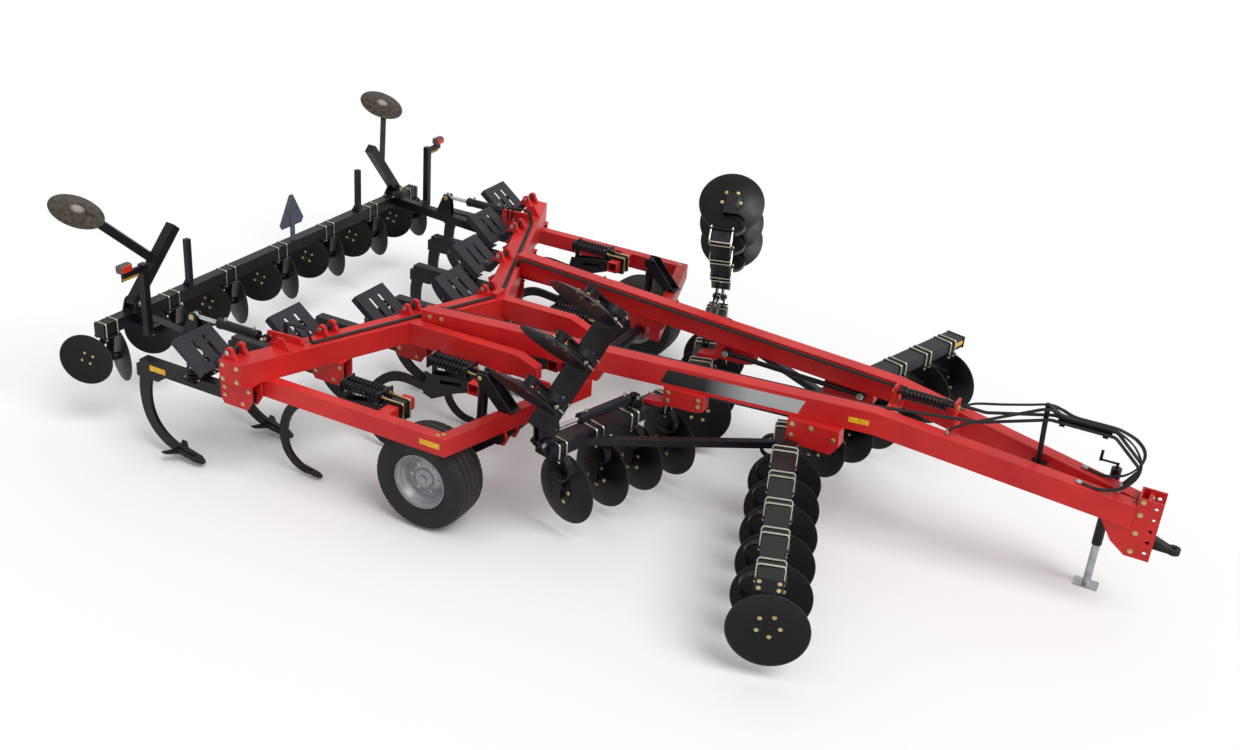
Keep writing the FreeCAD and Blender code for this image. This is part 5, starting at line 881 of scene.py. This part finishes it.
s = bracketSet
pinX, pinZ = s["pin"]
bracketBolts, shankPins = [], []
for y in shankStations:
    x = toolbarX(y)
    for way in (-1, 1):
        spots = [(x + ahead, y + way * s["half"], z) for ahead, z in s["bolts"]]
        bracketBolts += bolts(s["boltSize"], (0, way, 0), spots)
        spot = facing((x + pinX, y + way * s["pinHalf"], pinZ), (0, way, 0))
        shankPins.append(placed(pinHead(*s["pinSize"]), spot))
foldPins = [placed(pinHead(*foldPinSet["size"]), rearFrame @ facing((way * reach, y, z), (way, 0, 0)))
            for y, z, reach in foldPinSet["places"] for way in (1, -1)]
linkPins = [placed(pinHead(*linkPinSet["size"]), facing(place, (0, -1, 0))) for place in linkPinSet["places"]]
layers = [(yellowZinc, bothSides(boltRows(frameBoltSet)) + bracketBolts),
          (clearZinc, shankPins + bothSides(foldPins + linkPins))]
makePiece("frameBolts", layers, "frame")

# bar ends: a flange welded into each open end of the front gang bars, and four bolts through it
barEndSet = {
    "centre": (0, -0.0045, 0.842), "size": (0.196, 0.010, 0.112), "boltSize": 0.012,
    "bolts": [(x, 0.0005, z) for x in (-0.070, 0.070) for z in (0.815, 0.869)],
}
s = barEndSet
flange = placed(roundedBox(s["size"], 0.002), frontFrame @ Matrix.Translation(Vector(s["centre"])))
heads = [placed(hexBolt(s["boltSize"]), frontFrame @ facing(place, (0, 1, 0))) for place in s["bolts"]]
makePiece("barEnds", [(blackPaint, bothSides([flange])), (yellowZinc, bothSides(heads))], "frame")


# bands and reflectors: thin film on the faces that look sideways or forwards
def beamFilm(corners):
    return panel([(x, beamOuterY(x) + 0.0002, z) for x, z in corners], beamNormal, 0.001)


def sideFilm(x0, x1, y, z0, z1):
    return panel([(x0, y, z0), (x1, y, z0), (x1, y, z1), (x0, y, z1)], (0, 1, 0), 0.001)


def frontFilm(x, y0, y1, z0, z1):
    return panel([(x, y0, z0), (x, y1, z0), (x, y1, z1), (x, y0, z1)], (1, 0, 0), 0.001)


s = bandSet
low, high, slant = s["low"], s["high"], s["slant"]
band = beamFilm([(s["from"], low), (s["to"], low), (s["to"] + slant, high), (s["from"] + slant, high)])
makePiece("beamBands", [(bandVinyl, bothSides([band]))], "frame")

reflectorSet = {
    "beam": ((1.960, 1.150), (2.120, 1.150), (2.120, 1.195), (1.960, 1.195)),
    "arm": (-3.420, -3.250, 2.3362, 0.800, 0.850), "rail": (-0.830, -0.650, 2.2002, 0.885, 0.930),
    "bar": (0.0902, -0.150, -0.020, 0.825, 0.865),
}
s = reflectorSet
barFilm = placed(frontFilm(*s["bar"]), frontFrame)
reflectors = [beamFilm(s["beam"]), sideFilm(*s["arm"]), sideFilm(*s["rail"]), barFilm]
makePiece("frameReflectors", [(yellowFilm, bothSides(reflectors))], "frame")

# rear lamps: a moulded body with a lens each way, and a film on the bracket under it
lampSet = {
    "low": (-3.710, 2.203, 1.589), "high": (-3.652, 2.333, 1.659), "lensFront": -3.641, "lensRear": -3.721,
    "rimY": 0.008, "rimZ": 0.006, "plate": ((-3.700, 2.110, 1.500), (-3.694, 2.290, 1.545)),
    "film": (-3.6938, 2.118, 2.282, 1.504, 1.541),
}
s = lampSet
(x0, y0, z0), (x1, y1, z1) = s["low"], s["high"]
y2, y3, z2, z3 = y0 + s["rimY"], y1 - s["rimY"], z0 + s["rimZ"], z1 - s["rimZ"]
lens = [box((x1 - 0.002, y2, z2), (s["lensFront"], y3, z3), 0.006),
        box((s["lensRear"], y2, z2), (x0 + 0.002, y3, z3), 0.006)]
makePiece("rearLamps", [(lampBody, bothSides([box(s["low"], s["high"], 0.008)])), (redLens, bothSides(lens)),
                        (blackPaint, bothSides([box(*s["plate"], 0.001)])),
                        (yellowFilm, bothSides([frontFilm(*s["film"])]))],
          "leveler", ["rear_lamps"])

# pins and bolts that ride on the leveler
levelerBoltSet = {
    "rodPinOutside": (0.020, (0, 1, 0), [(-3.300, 1.944, 1.172)]),
    "rodPinInside": (0.020, (0, -1, 0), [(-3.300, 1.856, 1.172)]),
    "barFront": (0.018, (1, 0, 0), [(-3.913, 1.905, 1.120)]),
    "barRear": (0.018, (-1, 0, 0), [(-4.067, 1.905, 1.120)]),
    "barTop": (0.012, (0, 0, 1), [(-4.040, 1.800, 1.054), (-3.935, 1.800, 1.054)]),
}
makePiece("levelerBolts", [(yellowZinc, bothSides(boltRows(levelerBoltSet)))], "leveler")


# cylinders: a gland nut where the rod comes out, a base ring, and two ports with their fittings; profiles
# are (radius, height), the gland's from the barrel's open end, and each cylinder has its body, the pins of
# its barrel and rod, its barrel's length, the way its ports look, and its frame
barrelSet = {
    "gland": [(0.0205, 0.012), (0.030, 0.012), (0.033, 0.009), (0.033, 0), (0.045, -0.002), (0.0465, -0.006),
              (0.0465, -0.034), (0.0425, -0.038), (0.0425, -0.040), (0.0205, -0.040), (0.0205, 0.012)],
    "root": [(0.0, 0.076), (0.038, 0.076), (0.0445, 0.084), (0.0445, 0.096), (0.0425, 0.100), (0.0, 0.100)],
    "port": [(0, 0.030), (0.010, 0.030), (0.011, 0.028), (0.011, 0.016), (0.014, 0.014), (0.014, 0), (0, 0)],
    "firstPort": 0.125, "lastPort": 0.075, "portRise": 0.036,
}
cylinderSet = {
    "foldBarrelTrim": ("frame", (0, -1.010, 0.992), (0, -0.0976, 0.9987), 0.640, (0, 0, 1), rearFrame),
    "liftBarrelTrim": ("lift_barrels", (-0.700, 1.500, 1.220), (-0.720, 1.500, 0.640), 0.430, (1, 0, 0),
                       unturned),
    "levelerBarrelTrim": ("leveler_barrels", (-2.545, 1.900, 1.176), (-3.300, 1.900, 1.172), 0.500, (0, 0, 1),
                          unturned),
}


def barrelTrim(start, end, length, up, base):
    s = barrelSet
    axis = (Vector(end) - Vector(start)).normalized()
    gland = turned([(r, length + h) for r, h in s["gland"]], 32)
    spot = base @ facing(start, axis)
    ports = []
    for along in (s["firstPort"], length - s["lastPort"]):
        foot = Vector(start) + axis * along + Vector(up) * s["portRise"]
        ports.append(placed(turned(s["port"], 12), base @ facing(foot, up)))
    return [placed(gland, spot), placed(turned(s["root"], 32), spot)], ports


for name, (body, *cylinder) in cylinderSet.items():
    rings, ports = barrelTrim(*cylinder)
    makePiece(name, [(blackPaint, bothSides(rings)), (clearZinc, bothSides(ports))], body)

# stop collars: a short stack of rings round each lift rod
collarSet = {
    "profile": [(0.0195, 0.018), (0.0222, 0.018), (0.0232, 0.016), (0.0232, 0.002), (0.0222, 0), (0.0195, 0),
                (0.0195, 0.018)],
    "first": 0.457, "pitch": 0.020, "count": 4, "pin": (-0.700, 1.500, 1.220), "way": (-0.020, 0, -0.580),
}
s = collarSet
heights = s["first"] + s["pitch"] * np.arange(s["count"])
rings = [turned([(r, z + h) for r, h in s["profile"]], 24) for z in heights]
rings = [placed(ring, facing(s["pin"], s["way"])) for ring in rings]
makePiece("stopCollars", [(yellowZinc, bothSides(rings))], "lift_rods")

# plugs at the ends of the tongue's hoses
plugSet = {
    "profile": [(0, 0.046), (0.008, 0.046), (0.010, 0.042), (0.010, 0.030), (0.0145, 0.028), (0.0145, 0.010),
                (0.012, 0.008), (0.012, 0), (0, 0)],
    "places": ((4.010, 0.036, 1.060), (4.010, 0.056, 1.060)), "way": (-0.110, 0, -0.180),
}
plug = turned(plugSet["profile"], 20)
plugs = [placed(plug, facing(place, plugSet["way"])) for place in plugSet["places"]]
makePiece("hosePlugs", [(clearZinc, bothSides(plugs))], "frame")

# spare circuits: two more hoses a side, from a bulkhead fitting on the beam, over the rack, and back to the
# beam; the second lies a step beside the first and bulges forwards from it in the middle
spareSet = {
    "radius": 0.0075, "step": 0.018, "bulge": 0.012, "up": (0.05, 1, 0.02),
    "way": [(2.700, 0.235, 1.195), (2.715, 0.230, 1.240), (2.800, 0.200, 1.300), (3.000, 0.130, 1.385),
            (3.200, 0.072, 1.470), (3.352, 0.036, 1.532), (3.450, 0.030, 1.522), (3.560, 0.012, 1.500),
            (3.800, 0.012, 1.500), (3.900, 0.020, 1.488), (4.020, 0.050, 1.430), (4.095, 0.085, 1.330),
            (4.090, 0.105, 1.210), (4.000, 0.112, 1.090), (3.860, 0.112, 1.042), (3.720, 0.120, 1.0595)],
    "firstPlug": (0, 0, -0.006), "firstWay": (0.05, 0, 1), "lastPlug": (0.012, 0, -0.001),
    "lastWay": (-1, 0.05, 0.14),
}


def smoothed(points, steps):
    # a curve through all the points: each span blends its ends and the slopes taken from its neighbours
    p = np.asarray(points, float)
    p = np.concatenate([2 * p[:1] - p[1:2], p, 2 * p[-1:] - p[-2:-1]])
    t = np.linspace(0, 1, steps, endpoint=False)[:, None]
    a, b, c, d = (p[i:len(p) - 3 + i, None] for i in range(4))
    bend, twist = 2 * a - 5 * b + 4 * c - d, 3 * b - a - 3 * c + d
    curve = 0.5 * (2 * b + (c - a) * t + bend * t ** 2 + twist * t ** 3)
    return np.concatenate([curve.reshape(-1, 3), p[-2:-1]])


s = spareSet
hoses, fittings = [], []
for k in range(2):
    bulge = np.sin(np.linspace(0, math.pi, len(s["way"])))[:, None] * (s["bulge"] * k, 0, 0)
    way = smoothed(np.asarray(s["way"]) + (0.0, s["step"] * k, 0.0) + bulge, 9)
    hoses.append(swept(way, circle(s["radius"], 10), s["up"]))
    fittings.append(placed(plug, facing(way[-1] + s["lastPlug"], s["lastWay"])))
    fittings.append(placed(plug, facing(way[0] + s["firstPlug"], s["firstWay"])))
makePiece("spareHoses", [(hoseRubber, bothSides(hoses)), (clearZinc, bothSides(fittings))], "frame")
print("trim made")


# studio: pale floor, soft light; the camera sees both the floor and the sky as white
studioSet = {
    "floor": "#ffffff", "bounce": "#dedede", "floorHalf": 60, "sky": 0.60,
    "sunTurn": (34, 6, 60), "sunStrength": 1.62, "sunSize": 34,
}


def makeStudio(s):
    floorMesh = bpy.data.meshes.new("floor")
    h = s["floorHalf"]
    floorMesh.from_pydata([(-h, -h, 0), (h, -h, 0), (h, h, 0), (-h, h, 0)], [], [(0, 1, 2, 3)])
    floor = bpy.data.objects.new("floor", floorMesh)
    floor.location.z = -0.001
    bpy.context.scene.collection.objects.link(floor)
    material, tree, shader = startMaterial("paleStudioFloor")[:3]
    seen = addNode(tree, "LightPath", output="Is Camera Ray")
    colour = addNode(tree, "Mix", {"data_type": "RGBA", 6: s["bounce"], 7: s["floor"]}, {0: seen}, 2)
    tree.links.new(colour, shader.inputs["Base Color"])
    shader.inputs["Roughness"].default_value = 0.95
    shader.inputs["Specular IOR Level"].default_value = 0.1
    floorMesh.materials.append(material)
    world = bpy.data.worlds.new("studioSky")
    bpy.context.scene.world = world
    world.use_nodes = True
    back = world.node_tree.nodes["Background"]
    back.inputs["Color"].default_value = (1, 1, 1, 1)
    seen = addNode(world.node_tree, "LightPath", output="Is Camera Ray")
    strength = addNode(world.node_tree, "MapRange", {"To Min": s["sky"]}, {"Value": seen})
    world.node_tree.links.new(strength, back.inputs["Strength"])
    data = bpy.data.lights.new("softSun", "SUN")
    data.energy = s["sunStrength"]
    data.angle = math.radians(s["sunSize"])
    lamp = bpy.data.objects.new("softSun", data)
    lamp.rotation_euler = [math.radians(a) for a in s["sunTurn"]]
    bpy.context.scene.collection.objects.link(lamp)


makeStudio(studioSet)
print("studio ready")
